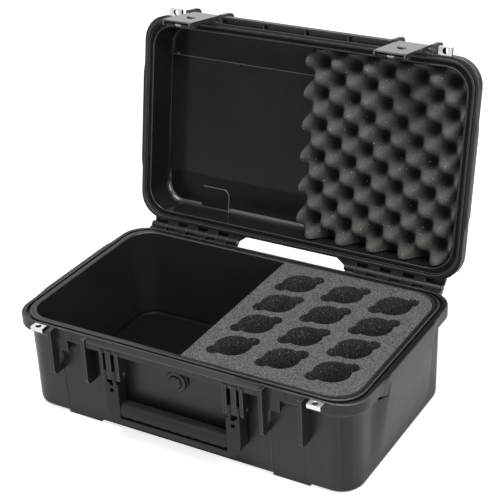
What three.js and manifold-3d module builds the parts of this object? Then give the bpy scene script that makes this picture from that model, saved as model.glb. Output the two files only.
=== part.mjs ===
// Hard case for twelve hand-held microphones, shown open: moulded base and lid, fitted foam,
// two pinned hinges, two trigger latches, a folding handle, padlock plates and a pressure valve.
// Millimetres. X runs along the case, Y to the back and Z up, with Z = 0 under the base's feet.
import * as THREE from 'three';
import { mergeVertices } from 'three/addons/utils/BufferGeometryUtils.js';
import Module from 'manifold-3d';

const wasm = await Module();
wasm.setup();

// Shells: the inside at the rim, the wall and the two depths
const insideHalfLength = 264.5;
const insideHalfWidth = 151.2;
const insideCorner = 38;
const wall = 5.5;
const rimHeight = 157.8;
const footHeight = 3;
const floorThickness = 4.8;
const draft = 2;
const bottomFillet = 8;
const floorFillet = 6;
const cornerDraft = 3;
const rimOverhang = 1;

// Rim: a tongue, a groove beside it and the flange round the outside, wider at the two ends
const tongueWidth = 8;
const tongueChamfer = 1;
const grooveWidth = 4;
const grooveDepth = 6;
const flangeWidth = 3;
const flangeDrop = 0.5;
const flangeHeight = 17.5;
const flangeChamfer = 1;
const flangeSlope = 11.5;
const baseEndWidth = 3;
const lidEndWidth = 1;

// Lid: depth inside and outside above the rim, and the ridge that closes into the groove
const lidInsideDepth = 52;
const lidHeight = 57;
const lidFlangeHeight = 16;
const ridgeGap = 0.8;
const ridgeDrop = 3;
const rimGap = 0.6;
const ceilingFillet = 6;
const lidTopFillet = 9;
const gasketWidth = 4;
const gasketGrooveWidth = 5;
const gasketGrooveDepth = 4;
const gasketBottomGap = 0.35;
const ceilingPanelDepth = 2;
const ceilingPanelFrontInset = 53.2;
const ceilingPanelBackInset = 56.2;
const ceilingPanelInset = 2;
const cornerPadFromInset = 121.5;
const cornerPadToInset = 69.5;
const cornerPadFrontInset = 39.2;
const cornerPadRise = 1.8;
const cornerPadRound = 11;
const topPanelInset = 24.5;
const topPanelRise = 1.5;
const topPanelCorner = 14;

// Shared clearances, overrun of cuts and the fineness of round shapes
const seatGap = 0.3;
const sideGap = 0.5;
const overrun = 2;
const cornerSteps = 7;
const filletSteps = 3;
const roundSteps = 16;
const weldTolerance = 0.0001;

// Bulged end walls: full between their ends at the flange, running out towards the floor
const bulgeEndInset = 60.2;
const bulgeReach = 3;
const bulgeTaper = 21;
const bulgeSteps = 5;
const bulgeSpread = 16;
const bulgeRoot = 0.4;
const lidBulgeEndInset = 66.2;
const lidBulgeReach = 2.5;
const notchLength = 20;
const notchHeight = 6;
const notchDepth = 5;
const notchOut = 2;

// Front of the base: fascia over the handle, ribs beside the latches and the catch blocks
const ribReach = 11.8;
const fasciaReach = 9.3;
const fasciaDrop = 4.6;
const fasciaDepth = 10;
const fasciaBarInset = 10;
const fasciaBarRise = 0.2;
const fasciaBarHeight = 10;
const fasciaBarWidth = 5;
const fasciaBarSeat = 2.2;
const latchInset = 90.3;
const latchSideGap = 2.2;
const ribThickness = 6;
const ribLength = 76.8;
const ribTopDrop = 1.3;
const ribRound = 8;
const footSideReach = 1.2;
const footRound = 5;
const frontRecessDepth = 1;
const underPanelInset = 20;
const catchUpperOut = 0.8;
const catchLowerOut = 0.3;
const catchUpperReach = 1.5;
const catchLowerReach = 6.5;
const catchStepDrop = 16.8;
const catchDrop = 37.3;

// Padlock tabs with their steel plates
const padlockInset = 39.5;
const padlockHalf = 10;
const padlockThickness = 5.2;
const padlockOut = 11.1;
const padlockHole = 4.5;
const padlockHoleInset = 6.6;
const plateSteel = 1.2;
const basePlateTopDrop = 1.5;
const lidPlateRise = 0.6;

// Handle: bail, rubber grip and the three-finned bracket over each arm
const pinRadius = 2.5;
const handlePinOut = 10.3;
const handlePinDrop = 47.8;
const handleInset = 63.2;
const armWidth = 22;
const bailLength = 79;
const bailOut = 22.3;
const bailGap = 2.3;
const bailCorner = 24;
const bailLip = 9;
const bailShoulderDrop = 13.5;
const tineRise = 7;
const coreFrontInset = 6;
const coreBackInset = 5;
const coreRise = 26;
const gripRise = 32.5;
const gripOut = 0.4;
const gripGap = 1.1;
const gripLumps = 11;
const gripWave = 0.9;
const gripStepsPerLump = 4;
const gripSectionPoints = 12;
const gripSquareness = 0.6;
const finInset = 0.5;
const finDrop = 9;
const finChamfer = 2;
const innerFinReach = 4;
const innerFinWidth = 6.5;
const middleFinInset = 9.2;
const middleFinWidth = 8.6;
const outerFinGap = 0.8;
const outerFinWidth = 5.4;
const armHoleSide = 6;
const armHoleDepth = 6;
const armHolePitch = 11;
const armHoleDrop = 14;

// Pressure valve on the front wall
const valveDrop = 39.8;
const valveRadius = 16.5;
const valveBoss = 2.2;
const valveThickness = 4.5;
const valveCapRadius = 10;
const valveCapRise = 1.8;
const valveStemRadius = 7;
const valveStemLength = 3;
const valveSteps = 32;

// Hinges
const hingeOut = 11;
const hingeRise = 0.6;
const barrelRadius = 5.5;
const hingePinRadius = 2.2;
const hingeInset = 169.5;
const knucklePitch = 19;
const knuckleCount = 7;
const endKnuckle = 28;
const webDrop = 14;
const webReach = 0.4;
const lidWebInset = 2;
const lidWebRoot = 8;
const webFlare = 15;
const lidOpenAngle = 100;

// Latches: lever, hook trigger, pins and spring
const latchPivotOut = 5.4;
const latchPivotRise = 6.2;
const latchPinRadius = 2;
const leverBarrel = 4.8;
const leverHalf = 24.6;
const leverOut = 10.8;
const leverPlate = 2.2;
const leverTilt = 6;
const leverLength = 84;
const leverChamfer = 5;
const leverMarkRadius = 7;
const leverMarkRise = 0.6;
const leverMarkDrop = 42;
const cheekThickness = 3;
const cheekShallowOut = 1.4;
const cheekDeepGap = 3.3;
const cheekSlopeTopDrop = 49;
const cheekSlopeBottomDrop = 69;
const cheekRound = 5;
const latchRestAngle = 5;
const triggerPinOut = 6.3;
const triggerPinDrop = 76;
const triggerPinRadius = 1.6;
const triggerBarrel = 3.2;
const triggerOut = 10.7;
const triggerThickness = 1.6;
const hookDepth = 2.3;
const hookHeight = 6;
const fingerBarRise = 7;
const fingerBarHeight = 6;
const fingerBarDepth = 5.9;
const springWire = 0.9;
const springCoilRadius = 2.6;
const springTurns = 4;
const springPitch = 2.2;
const springSides = 5;
const springStepsPerTurn = 12;
const springSlotHalf = 6;

// Lid front: ears beside the latches and the channelled beam between them
const earOut = 12.8;
const earTop = 40;
const earRound = 11;
const beamOut = 10.4;
const beamWall = 3;
const beamHeight = 13;
const beamTop = 3.5;
const gussetPitch = 71;
const gussetThickness = 3;

// Foam in the base: a slotted block on a plain pad
const foamLeft = 3.5;
const foamSideGap = 0.7;
const foamTopDrop = 0.5;
const padThickness = 38;
const slotRadius = 26.5;
const slotLobeRadius = 11;
const slotLobeReach = 28;
const slotLobeAngle = 46;
const slotColumns = 3;
const slotRows = 4;
const slotColumnShare = 0.2923;
const slotRowShare = 0.4345;
const slotFirstShare = 0.2129;
const slotMiddleY = 2.4;
const lobeSteps = 12;

// Egg-crate foam in the lid
const crateLeft = 4;
const crateSideGap = 0.8;
const crateValley = 38;
const crateHeight = 34;
const crateHalfWaveX = 26.3;
const crateHalfWaveY = 24.6;
const cratePhaseX = 26;
const cratePhaseY = 20.5;
const crateStepsPerWave = 3;

// Sizes that follow from the ones above
const rimWidth = tongueWidth + grooveWidth + flangeWidth;
const flangeFace = insideHalfWidth + rimWidth;
const flangeTop = rimHeight - flangeDrop;
const flangeBottom = flangeTop - flangeHeight;
const wallTop = flangeBottom - flangeSlope;
const wallFace = insideHalfWidth - rimOverhang + wall;
const floorTop = footHeight + floorThickness;
const lidRim = rimHeight + rimGap;
const ceiling = rimHeight + lidInsideDepth;
const lidTop = rimHeight + lidHeight;
const lidFlangeTop = rimHeight + lidFlangeHeight;
const foamTop = rimHeight - foamTopDrop;
const padTop = floorTop + padThickness;
const ribTop = rimHeight - ribTopDrop;

// Places on the shells, set in from the inside of the rim
const ceilingPanelFront = insideHalfWidth - ceilingPanelFrontInset;
const ceilingPanelBack = insideHalfWidth - ceilingPanelBackInset;
const cornerPadFrom = insideHalfLength - cornerPadFromInset;
const cornerPadTo = insideHalfLength - cornerPadToInset;
const cornerPadFront = insideHalfWidth - cornerPadFrontInset;
const topPanelHalfLength = insideHalfLength - topPanelInset;
const bulgeHalfWidth = insideHalfWidth - bulgeEndInset;
const lidBulgeHalfWidth = insideHalfWidth - lidBulgeEndInset;

// Places on the front, out from the flange and down from the rim
const ribFront = flangeFace + ribReach;
const fasciaFront = flangeFace + fasciaReach;
const fasciaTop = rimHeight - fasciaDrop;
const latchCentre = insideHalfLength - latchInset;
const latchPocketHalf = leverHalf + latchSideGap;
const footHalf = latchPocketHalf + footSideReach;
const ribBottom = rimHeight - ribLength;
const catchUpperFront = flangeFace + catchUpperOut;
const catchLowerFront = flangeFace + catchLowerOut;
const catchStep = rimHeight - catchStepDrop;
const catchBottom = rimHeight - catchDrop;
const padlockCentre = insideHalfLength - padlockInset;
const padlockReach = flangeFace + padlockOut;
const valveHeight = rimHeight - valveDrop;
const earFront = flangeFace + earOut;
const beamFront = flangeFace + beamOut;

// Places of the handle and its brackets
const handlePinY = -wallFace - handlePinOut;
const handlePinZ = rimHeight - handlePinDrop;
const bailHalfWidth = latchCentre - handleInset;
const bailInnerHalf = bailHalfWidth - armWidth;
const bailBottom = handlePinZ - bailLength;
const bailFront = wallFace + bailOut;
const bailBack = wallFace + bailGap;
const coreFront = bailFront - coreFrontInset;
const coreBack = bailBack + coreBackInset;
const coreTop = bailBottom + coreRise;
const gripTop = bailBottom + gripRise;
const gripBack = wallFace + gripGap;
const finFront = bailFront - finInset;
const finBottom = handlePinZ - finDrop;
const innerFinFrom = bailInnerHalf - innerFinReach;
const innerFinTo = innerFinFrom + innerFinWidth;
const middleFinFrom = bailInnerHalf + middleFinInset;
const middleFinTo = middleFinFrom + middleFinWidth;
const outerFinFrom = bailHalfWidth + outerFinGap;
const outerFinTo = outerFinFrom + outerFinWidth;
const fasciaBarFrom = bailInnerHalf + fasciaBarInset;

// Places of the hinges
const hingeY = flangeFace + hingeOut;
const hingeZ = rimHeight + hingeRise;
const knuckleStart = insideHalfLength - hingeInset;

// Places of the latches, drawn latched
const latchPivotY = -flangeFace - latchPivotOut;
const latchPivotZ = rimHeight + latchPivotRise;
const leverFront = flangeFace + leverOut;
const leverBottom = latchPivotZ - leverLength;
const cheekShallow = flangeFace + cheekShallowOut;
const cheekDeep = wallFace + cheekDeepGap;
const cheekSlopeTop = latchPivotZ - cheekSlopeTopDrop;
const cheekSlopeBottom = latchPivotZ - cheekSlopeBottomDrop;
const triggerPinY = -wallFace - triggerPinOut;
const triggerPinZ = latchPivotZ - triggerPinDrop;
const triggerFront = wallFace + triggerOut;
const hookBack = triggerFront - hookDepth;
const fingerBarFrom = triggerPinZ + fingerBarRise;
const fingerBarTo = fingerBarFrom + fingerBarHeight;
const fingerBarBack = triggerFront - fingerBarDepth;

// Places of the slots
const slotPitchX = insideHalfLength * slotColumnShare;
const slotPitchY = insideHalfWidth * slotRowShare;
const slotFirstX = insideHalfLength * slotFirstShare;

const deg = Math.PI / 180;

// Solids from three.js geometry, joined and cut as manifolds
function solidOf(geometry) {
  geometry.deleteAttribute('normal');
  geometry.deleteAttribute('uv');
  const merged = mergeVertices(geometry, weldTolerance);
  const mesh = new wasm.Mesh({
    numProp: 3,
    vertProperties: Float32Array.from(merged.attributes.position.array),
    triVerts: Uint32Array.from(merged.index.array),
  });
  return new wasm.Manifold(mesh);
}

function joined(solids) {
  return solids.reduce((whole, next) => whole.add(next));
}

function box(x0, x1, y0, y1, z0, z1) {
  const geometry = new THREE.BoxGeometry(Math.abs(x1 - x0), Math.abs(y1 - y0), Math.abs(z1 - z0));
  geometry.translate((x0 + x1) / 2, (y0 + y1) / 2, (z0 + z1) / 2);
  return solidOf(geometry);
}

function shapeOf(points) {
  return new THREE.Shape(points.map(([u, v]) => new THREE.Vector2(u, v)));
}

function extruded(shape, depth, basis, origin) {
  const options = { depth, bevelEnabled: false, curveSegments: filletSteps * 2 };
  const geometry = new THREE.ExtrudeGeometry(shape, options);
  geometry.applyMatrix4(new THREE.Matrix4().makeBasis(...basis));
  geometry.translate(...origin);
  return solidOf(geometry);
}

const unitX = new THREE.Vector3(1, 0, 0);
const unitY = new THREE.Vector3(0, 1, 0);
const unitZ = new THREE.Vector3(0, 0, 1);

// A shape drawn in Y and Z, between two places along X
function alongX(shape, xa, xb) {
  const start = Math.min(xa, xb);
  return extruded(shape, Math.abs(xb - xa), [unitY, unitZ, unitX], [start, 0, 0]);
}

// A shape drawn in X and Z, between two places along Y
function alongY(shape, ya, yb) {
  const back = Math.max(ya, yb);
  const basis = [unitX, unitZ, unitY.clone().negate()];
  return extruded(shape, Math.abs(yb - ya), basis, [0, back, 0]);
}

// A shape drawn in X and Y, between two heights
function alongZ(shape, z0, z1) {
  return extruded(shape, z1 - z0, [unitX, unitY, unitZ], [0, 0, z0]);
}

function rodX(radius, xa, xb, y, z, steps = roundSteps) {
  const geometry = new THREE.CylinderGeometry(radius, radius, Math.abs(xb - xa), steps);
  geometry.rotateZ(Math.PI / 2);
  geometry.translate((xa + xb) / 2, y, z);
  return solidOf(geometry);
}

function rodY(radius, ya, yb, x, z, steps = roundSteps) {
  const geometry = new THREE.CylinderGeometry(radius, radius, Math.abs(yb - ya), steps);
  geometry.translate(x, (ya + yb) / 2, z);
  return solidOf(geometry);
}

function rodZ(radius, z0, z1, x, y, steps = roundSteps) {
  const geometry = new THREE.CylinderGeometry(radius, radius, z1 - z0, steps);
  geometry.rotateX(Math.PI / 2);
  geometry.translate(x, y, (z0 + z1) / 2);
  return solidOf(geometry);
}

// One rounded rectangle at height z, set out from the rim's inside edge, and wider at the ends
function roundedRing(offset, corner, z, endWidth = 0) {
  const halfLength = insideHalfLength + offset + endWidth;
  const halfWidth = insideHalfWidth + offset;
  const points = [];
  for (const [sx, sy, start] of [[1, 1, 0], [-1, 1, 90], [-1, -1, 180], [1, -1, 270]]) {
    for (let step = 0; step <= cornerSteps; step += 1) {
      const angle = (start + (90 * step) / cornerSteps) * deg;
      const x = sx * (halfLength - corner) + corner * Math.cos(angle);
      const y = sy * (halfWidth - corner) + corner * Math.sin(angle);
      points.push([x, y, z]);
    }
  }
  return points;
}

// A skin over rings with equal counts: capped at both ends, or closed on itself as a band
function skinned(rings, isBand = false) {
  const count = rings[0].length;
  const positions = rings.flat(2);
  const index = [];
  const last = isBand ? rings.length : rings.length - 1;
  for (let ring = 0; ring < last; ring += 1) {
    const low = ring * count;
    const high = ((ring + 1) % rings.length) * count;
    for (let point = 0; point < count; point += 1) {
      const next = (point + 1) % count;
      index.push(low + point, low + next, high + next);
      index.push(low + point, high + next, high + point);
    }
  }
  if (!isBand) {
    const top = (rings.length - 1) * count;
    for (let point = 1; point < count - 1; point += 1) {
      index.push(0, point + 1, point);
      index.push(top, top + point, top + point + 1);
    }
  }
  const geometry = new THREE.BufferGeometry();
  geometry.setAttribute('position', new THREE.Float32BufferAttribute(positions, 3));
  geometry.setIndex(index);
  return solidOf(geometry);
}

// Rings of a rounded edge, from a flat face at height z out to the full offset
function edgeRings(offset, corner, radius, z, rise, endWidth = 0) {
  const rings = [];
  for (let step = 0; step <= filletSteps; step += 1) {
    const angle = ((90 * step) / filletSteps) * deg;
    const inward = radius * (1 - Math.sin(angle));
    const along = radius * (1 - Math.cos(angle));
    rings.push(roundedRing(offset - inward, corner - inward, z + rise * along, endWidth));
  }
  return rings;
}

// Base shell
const outerCorner = insideCorner - rimOverhang - draft + wall / 2;
const bottomOffset = wall - rimOverhang - draft;
const innerBottomOffset = -rimOverhang - draft;
const innerCornerTop = insideCorner - cornerDraft;
const innerCornerBottom = innerCornerTop - cornerDraft;

function baseTray() {
  const flangeCorner = insideCorner + cornerDraft;
  const grooveOuter = tongueWidth + grooveWidth;
  const grooveFloor = rimHeight - grooveDepth;
  const rim = rimHeight - tongueChamfer;
  return skinned([
    ...edgeRings(bottomOffset, outerCorner - cornerDraft, bottomFillet, footHeight, 1, baseEndWidth),
    roundedRing(wall - rimOverhang, outerCorner, wallTop, baseEndWidth),
    roundedRing(rimWidth, flangeCorner, flangeBottom, baseEndWidth),
    roundedRing(rimWidth, flangeCorner, flangeTop - flangeChamfer, baseEndWidth),
    roundedRing(rimWidth - flangeChamfer, flangeCorner, flangeTop, baseEndWidth),
    roundedRing(grooveOuter, flangeCorner, flangeTop),
    roundedRing(grooveOuter, flangeCorner, grooveFloor),
    roundedRing(tongueWidth, flangeCorner, grooveFloor),
    roundedRing(tongueWidth, flangeCorner, rim),
    roundedRing(tongueWidth - tongueChamfer, flangeCorner, rimHeight),
    roundedRing(tongueChamfer, insideCorner, rimHeight),
    roundedRing(0, insideCorner, rim),
    roundedRing(-rimOverhang, innerCornerTop, wallTop),
    ...edgeRings(innerBottomOffset, innerCornerBottom, floorFillet, floorTop, 1).reverse(),
  ]);
}

// A rib beside a latch, standing out from the wall under the flange
function latchRib(xa, xb) {
  const shape = new THREE.Shape();
  shape.moveTo(-wallFace + wall / 2, flangeBottom);
  shape.lineTo(-flangeFace + flangeWidth / 2, flangeBottom);
  shape.lineTo(-flangeFace + flangeWidth / 2, flangeTop - flangeChamfer);
  shape.lineTo(-flangeFace - seatGap, flangeTop - flangeChamfer);
  shape.lineTo(-flangeFace - seatGap, ribTop);
  shape.lineTo(-ribFront, ribTop);
  shape.lineTo(-ribFront, ribBottom + ribRound);
  shape.absarc(-ribFront + ribRound, ribBottom + ribRound, ribRound, Math.PI, 1.5 * Math.PI);
  shape.lineTo(-wallFace + wall / 2, ribBottom);
  return alongX(shape, xa, xb);
}

function catchBlock(side) {
  const centre = side * latchCentre;
  const left = centre - latchPocketHalf - sideGap;
  const root = -wallFace + wall / 2;
  const seat = -flangeFace + flangeWidth / 2;
  const upper = box(left, centre + catchUpperReach, -catchUpperFront, seat, catchStep, flangeTop);
  const lower = box(left, centre - catchLowerReach, -catchLowerFront, root, catchBottom, catchStep);
  return upper.add(lower);
}

function bracketFin(side, from, to) {
  const root = -wallFace + wall / 2;
  const shape = shapeOf([
    [root, fasciaTop - fasciaDepth / 2],
    [-finFront, fasciaTop - fasciaDepth / 2],
    [-finFront, finBottom + finChamfer],
    [-finFront + finChamfer, finBottom],
    [root, finBottom],
  ]);
  return alongX(shape, side * from, side * to);
}

function fascia() {
  const half = latchCentre - latchPocketHalf - ribThickness / 2;
  const root = -flangeFace + flangeWidth / 2;
  const shape = shapeOf([
    [root, flangeTop - flangeChamfer],
    [-flangeFace, flangeTop - flangeChamfer],
    [-fasciaFront, fasciaTop],
    [-fasciaFront, fasciaTop - fasciaDepth],
    [root, fasciaTop - fasciaDepth],
  ]);
  return alongX(shape, -half, half);
}

function fasciaBar(side) {
  const end = latchCentre - latchPocketHalf - ribThickness;
  const back = -flangeFace + fasciaBarSeat;
  const high = rimHeight + fasciaBarRise;
  const low = high - fasciaBarHeight;
  return box(side * fasciaBarFrom, side * end, back - fasciaBarWidth, back, low, high);
}

// One level of a bulged end wall: its plan swells from the wall's face to full in the middle
function bulgeRing(side, z, root, ends, full, halfWidth) {
  const from = halfWidth + bulgeSpread;
  const width = bulgeSpread + bulgeTaper;
  const ring = [[side * root, -from, z]];
  for (const end of [-1, 1]) {
    for (let step = 0; step <= bulgeSteps; step += 1) {
      const share = end < 0 ? step / bulgeSteps : 1 - step / bulgeSteps;
      const swell = (1 - Math.cos(Math.PI * share)) / 2;
      ring.push([side * (ends + (full - ends) * swell), end * (from - width * share), z]);
    }
  }
  ring.push([side * root, from, z]);
  return side > 0 ? ring : ring.reverse();
}

// A bulged end wall between the flange's edge and the far end of the shell
function sideBulge(side, flange, reach, halfWidth, edge, shoulder, far) {
  const sign = Math.sign(edge - far);
  const wallFoot = flange - rimWidth + wall - rimOverhang - draft - bulgeRoot;
  const seat = flange - flangeWidth / 2;
  const out = flange + reach;
  const brow = edge - sign * flangeChamfer;
  const last = edge - sign * grooveDepth;
  const rings = [];
  const level = (z, root, ends) => {
    const full = wallFoot + (out - wallFoot) * Math.sin((Math.PI / 2) * ((z - far) / (brow - far)));
    rings.push(bulgeRing(side, z, root, ends, full, halfWidth));
  };
  for (let step = 0; step < bulgeSteps; step += 1) {
    const z = far + ((last - far) * step) / bulgeSteps;
    level(z, wallFoot - wall / 4, wallFoot + draft * Math.min(1, (z - far) / (shoulder - far)));
  }
  level(last, seat, flange - bulgeRoot);
  level(brow, seat, flange - bulgeRoot);
  rings.push(bulgeRing(side, edge, seat, flange - flangeChamfer, out - flangeChamfer, halfWidth));
  return skinned(sign > 0 ? rings : rings.reverse());
}

// The small dark notch under the flange at each end of a bulge
function bulgeNotch(side, end) {
  const face = insideHalfLength + baseEndWidth + wall;
  const tip = end * (bulgeHalfWidth + notchOut);
  const low = wallTop - flangeChamfer;
  const shape = shapeOf([
    [tip, low],
    [tip, low + notchHeight],
    [tip - end * notchLength, low],
  ]);
  return alongX(shape, side * (face - notchDepth / 2), side * (face + bulgeReach + rimWidth));
}

// What is cut from the front wall over a foot: a shallow flat from the flange to the floor
function frontRecess(side) {
  const face = insideHalfWidth + bottomOffset;
  const low = footHeight + bottomFillet;
  const shape = shapeOf([
    [-face - overrun, 0],
    [-face + frontRecessDepth, 0],
    [-face + frontRecessDepth, low],
    [-wallFace + frontRecessDepth, wallTop],
    [-wallFace - overrun, wallTop],
  ]);
  return alongX(shape, side * latchCentre - footHalf, side * latchCentre + footHalf);
}

// A foot: a rail under the floor from front to back with round ends
function foot(side) {
  const back = insideHalfWidth + bottomOffset;
  const front = back - frontRecessDepth;
  const low = footHeight + bottomFillet;
  const shape = new THREE.Shape();
  shape.moveTo(-front, low);
  shape.absarc(-front + footRound, footRound, footRound, Math.PI, 1.5 * Math.PI);
  shape.absarc(back - footRound, footRound, footRound, 1.5 * Math.PI, 2 * Math.PI);
  shape.lineTo(back, low);
  shape.lineTo(back - wall / 2, low);
  shape.lineTo(back - bottomFillet, footHeight + wall / 4);
  shape.lineTo(-back + bottomFillet, footHeight + wall / 4);
  shape.lineTo(-back + wall / 2, low);
  return alongX(shape, side * latchCentre - footHalf, side * latchCentre + footHalf);
}

function roundedPanel(halfLength, front, back, low, high) {
  const corner = topPanelCorner;
  const x = halfLength - corner;
  const shape = new THREE.Shape();
  shape.absarc(x, back - corner, corner, 0, Math.PI / 2);
  shape.absarc(-x, back - corner, corner, Math.PI / 2, Math.PI);
  shape.absarc(-x, front + corner, corner, Math.PI, 1.5 * Math.PI);
  shape.absarc(x, front + corner, corner, 1.5 * Math.PI, 2 * Math.PI);
  return alongZ(shape, low, high);
}

// The raised middle of the underside, level with the feet
function underPanel() {
  const half = latchCentre - latchPocketHalf - ribThickness - underPanelInset;
  return roundedPanel(half, -ceilingPanelFront, ceilingPanelBack, 0, footHeight + wall / 4);
}

// The web behind the other shell's knuckles, clear of their barrels
function hingeWeb(side, root, end, edge, sign) {
  const near = hingeZ + sign * (barrelRadius + sideGap + seatGap);
  const tangent = barrelRadius * Math.SQRT1_2;
  const heel = flangeFace + sideGap;
  const low = edge + sign * webDrop;
  const slope = (hingeZ + sign * tangent - low) / (hingeY + tangent - heel);
  const shape = shapeOf([
    [root, near],
    [end, near],
    [end, low + slope * (end - heel)],
    [heel, low],
    [root, low],
  ]);
  const last = knuckleStart + knuckleCount * knucklePitch + endKnuckle;
  return alongX(shape, side * knuckleStart, side * last);
}

function padlockTab(side, low, high) {
  const inner = side * (padlockCentre - padlockHalf);
  const outer = side * (padlockCentre + padlockHalf);
  return box(inner, outer, -padlockReach, -flangeFace + flangeWidth / 2, low, high);
}

function padlockHoleCut(side) {
  const y = -flangeFace - padlockHoleInset;
  return rodZ(padlockHole, flangeBottom, lidFlangeTop, side * padlockCentre, y);
}

// Knuckles of one hinge: places along X, alternating between lid and base
function knucklePlaces(forBase) {
  const places = [];
  for (let knuckle = 0; knuckle < knuckleCount; knuckle += 1) {
    const from = knuckleStart + knuckle * knucklePitch;
    if ((knuckle % 2 === 1) === forBase) {
      places.push([from, from + knucklePitch - sideGap]);
    }
  }
  const last = knuckleStart + knuckleCount * knucklePitch;
  if (forBase) {
    places.push([last, last + endKnuckle]);
  }
  return places;
}

function baseKnuckle(side, from, to) {
  const tangent = barrelRadius * Math.SQRT1_2;
  const root = flangeFace - flangeWidth / 2;
  const shape = shapeOf([
    [root, flangeTop - flangeChamfer],
    [flangeFace + sideGap, flangeTop - seatGap],
    [hingeY, hingeZ],
    [hingeY + tangent, hingeZ - tangent],
    [flangeFace + sideGap, flangeTop - webDrop],
    [root, flangeTop - webDrop],
  ]);
  const barrel = rodX(barrelRadius, side * from, side * to, hingeY, hingeZ);
  return alongX(shape, side * from, side * to).add(barrel);
}

function lidKnuckle(side, from, to) {
  const tangent = barrelRadius * Math.SQRT1_2;
  const root = flangeFace - flangeWidth;
  const shape = shapeOf([
    [root, lidRim + sideGap],
    [hingeY, hingeZ],
    [hingeY + tangent, hingeZ + tangent],
    [flangeFace + sideGap, lidRim + webDrop],
    [root, lidRim + webDrop],
  ]);
  const barrel = rodX(barrelRadius, side * from, side * to, hingeY, hingeZ);
  return alongX(shape, side * from, side * to).add(barrel);
}

function hingeBore(side) {
  const end = knuckleStart + knuckleCount * knucklePitch + endKnuckle;
  const radius = hingePinRadius + seatGap;
  return rodX(radius, side * (knuckleStart - overrun), side * (end - wall), hingeY, hingeZ);
}

function baseShell() {
  const recesses = frontRecess(-1).add(frontRecess(1));
  const parts = [baseTray().subtract(recesses), fascia(), underPanel()];
  const cuts = [];
  const pocket = latchCentre - latchPocketHalf;
  const outside = latchCentre + latchPocketHalf;
  for (const side of [-1, 1]) {
    parts.push(fasciaBar(side), catchBlock(side));
    parts.push(latchRib(side * (pocket - ribThickness), side * pocket));
    parts.push(latchRib(side * outside, side * (outside + ribThickness)));
    parts.push(bracketFin(side, innerFinFrom, innerFinTo));
    parts.push(bracketFin(side, middleFinFrom, middleFinTo));
    parts.push(bracketFin(side, outerFinFrom, outerFinTo));
    const tabTop = rimHeight - basePlateTopDrop - plateSteel - seatGap;
    parts.push(padlockTab(side, tabTop - padlockThickness, tabTop));
    parts.push(foot(side));
    const flange = insideHalfLength + rimWidth + baseEndWidth;
    const far = footHeight + bottomFillet;
    parts.push(sideBulge(side, flange, bulgeReach, bulgeHalfWidth, flangeTop, wallTop, far));
    parts.push(hingeWeb(side, flangeFace - flangeWidth / 2, hingeY + webReach, flangeTop, -1));
    for (const [from, to] of knucklePlaces(true)) {
      parts.push(baseKnuckle(side, from, to));
    }
    cuts.push(hingeBore(side), padlockHoleCut(side), bulgeNotch(side, -1), bulgeNotch(side, 1));
    const boreFrom = side * (innerFinFrom - overrun);
    const boreTo = side * (outerFinTo + overrun);
    cuts.push(rodX(pinRadius + seatGap, boreFrom, boreTo, handlePinY, handlePinZ));
  }
  const bossRadius = valveRadius + sideGap;
  const bossFace = -wallFace - valveBoss;
  const stemEnd = bossFace + valveStemLength + seatGap;
  parts.push(rodY(bossRadius, bossFace, -wallFace + wall / 2, 0, valveHeight, valveSteps));
  cuts.push(rodY(valveStemRadius + seatGap, -ribFront, stemEnd, 0, valveHeight));
  cuts.push(rodY(bossRadius, -ribFront, bossFace, 0, valveHeight, valveSteps));
  return joined(parts).subtract(joined(cuts));
}

// Lid shell, drawn closed on the base
function lidTray() {
  const groove = tongueWidth / 2 - gasketGrooveWidth / 2;
  const ridgeFrom = tongueWidth + ridgeGap;
  const ridgeTo = tongueWidth + grooveWidth - ridgeGap;
  const topCorner = outerCorner - cornerDraft;
  const flangeCorner = insideCorner + cornerDraft;
  return skinned([
    ...edgeRings(innerBottomOffset, innerCornerBottom, ceilingFillet, ceiling, -1),
    roundedRing(-rimOverhang, innerCornerTop, lidRim),
    roundedRing(groove, insideCorner, lidRim),
    roundedRing(groove, insideCorner, lidRim + gasketGrooveDepth),
    roundedRing(groove + gasketGrooveWidth, insideCorner, lidRim + gasketGrooveDepth),
    roundedRing(groove + gasketGrooveWidth, insideCorner, lidRim),
    roundedRing(ridgeFrom, flangeCorner, lidRim),
    roundedRing(ridgeFrom, flangeCorner, rimHeight - ridgeDrop),
    roundedRing(ridgeTo, flangeCorner, rimHeight - ridgeDrop),
    roundedRing(ridgeTo, flangeCorner, lidRim),
    roundedRing(rimWidth, flangeCorner, lidRim, lidEndWidth),
    roundedRing(rimWidth, flangeCorner, lidFlangeTop, lidEndWidth),
    roundedRing(wall - rimOverhang, outerCorner, lidFlangeTop + flangeSlope, lidEndWidth),
    ...edgeRings(bottomOffset, topCorner, lidTopFillet, lidTop, -1, lidEndWidth).reverse(),
  ]);
}

function lidEar(xa, xb) {
  const root = -wallFace + wall / 2;
  const seat = -flangeFace + flangeWidth / 2;
  const tip = rimHeight + earTop;
  const shape = new THREE.Shape();
  shape.moveTo(root, lidFlangeTop);
  shape.lineTo(seat, lidFlangeTop);
  shape.lineTo(seat, lidRim + sideGap);
  shape.lineTo(-earFront, lidRim + sideGap);
  shape.lineTo(-earFront, tip - earRound);
  shape.absarc(-earFront + earRound, tip - earRound, earRound, Math.PI, Math.PI / 2, true);
  shape.lineTo(root, tip);
  return alongX(shape, xa, xb);
}

function lidBeam() {
  const half = latchCentre - latchPocketHalf - ribThickness / 2;
  const root = -flangeFace + flangeWidth / 2;
  const low = lidRim + sideGap;
  const high = low + beamHeight;
  const inside = -beamFront + beamWall;
  const past = half + overrun;
  const channel = box(-past, past, inside, -flangeFace, low - overrun, high - beamTop);
  const gussets = [-1, 0, 1].map((place) => {
    const x = place * gussetPitch - gussetThickness / 2;
    return box(x, x + gussetThickness, inside - beamWall / 2, root, low + beamTop, high);
  });
  return joined([box(-half, half, -beamFront, root, low, high).subtract(channel), ...gussets]);
}

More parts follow.
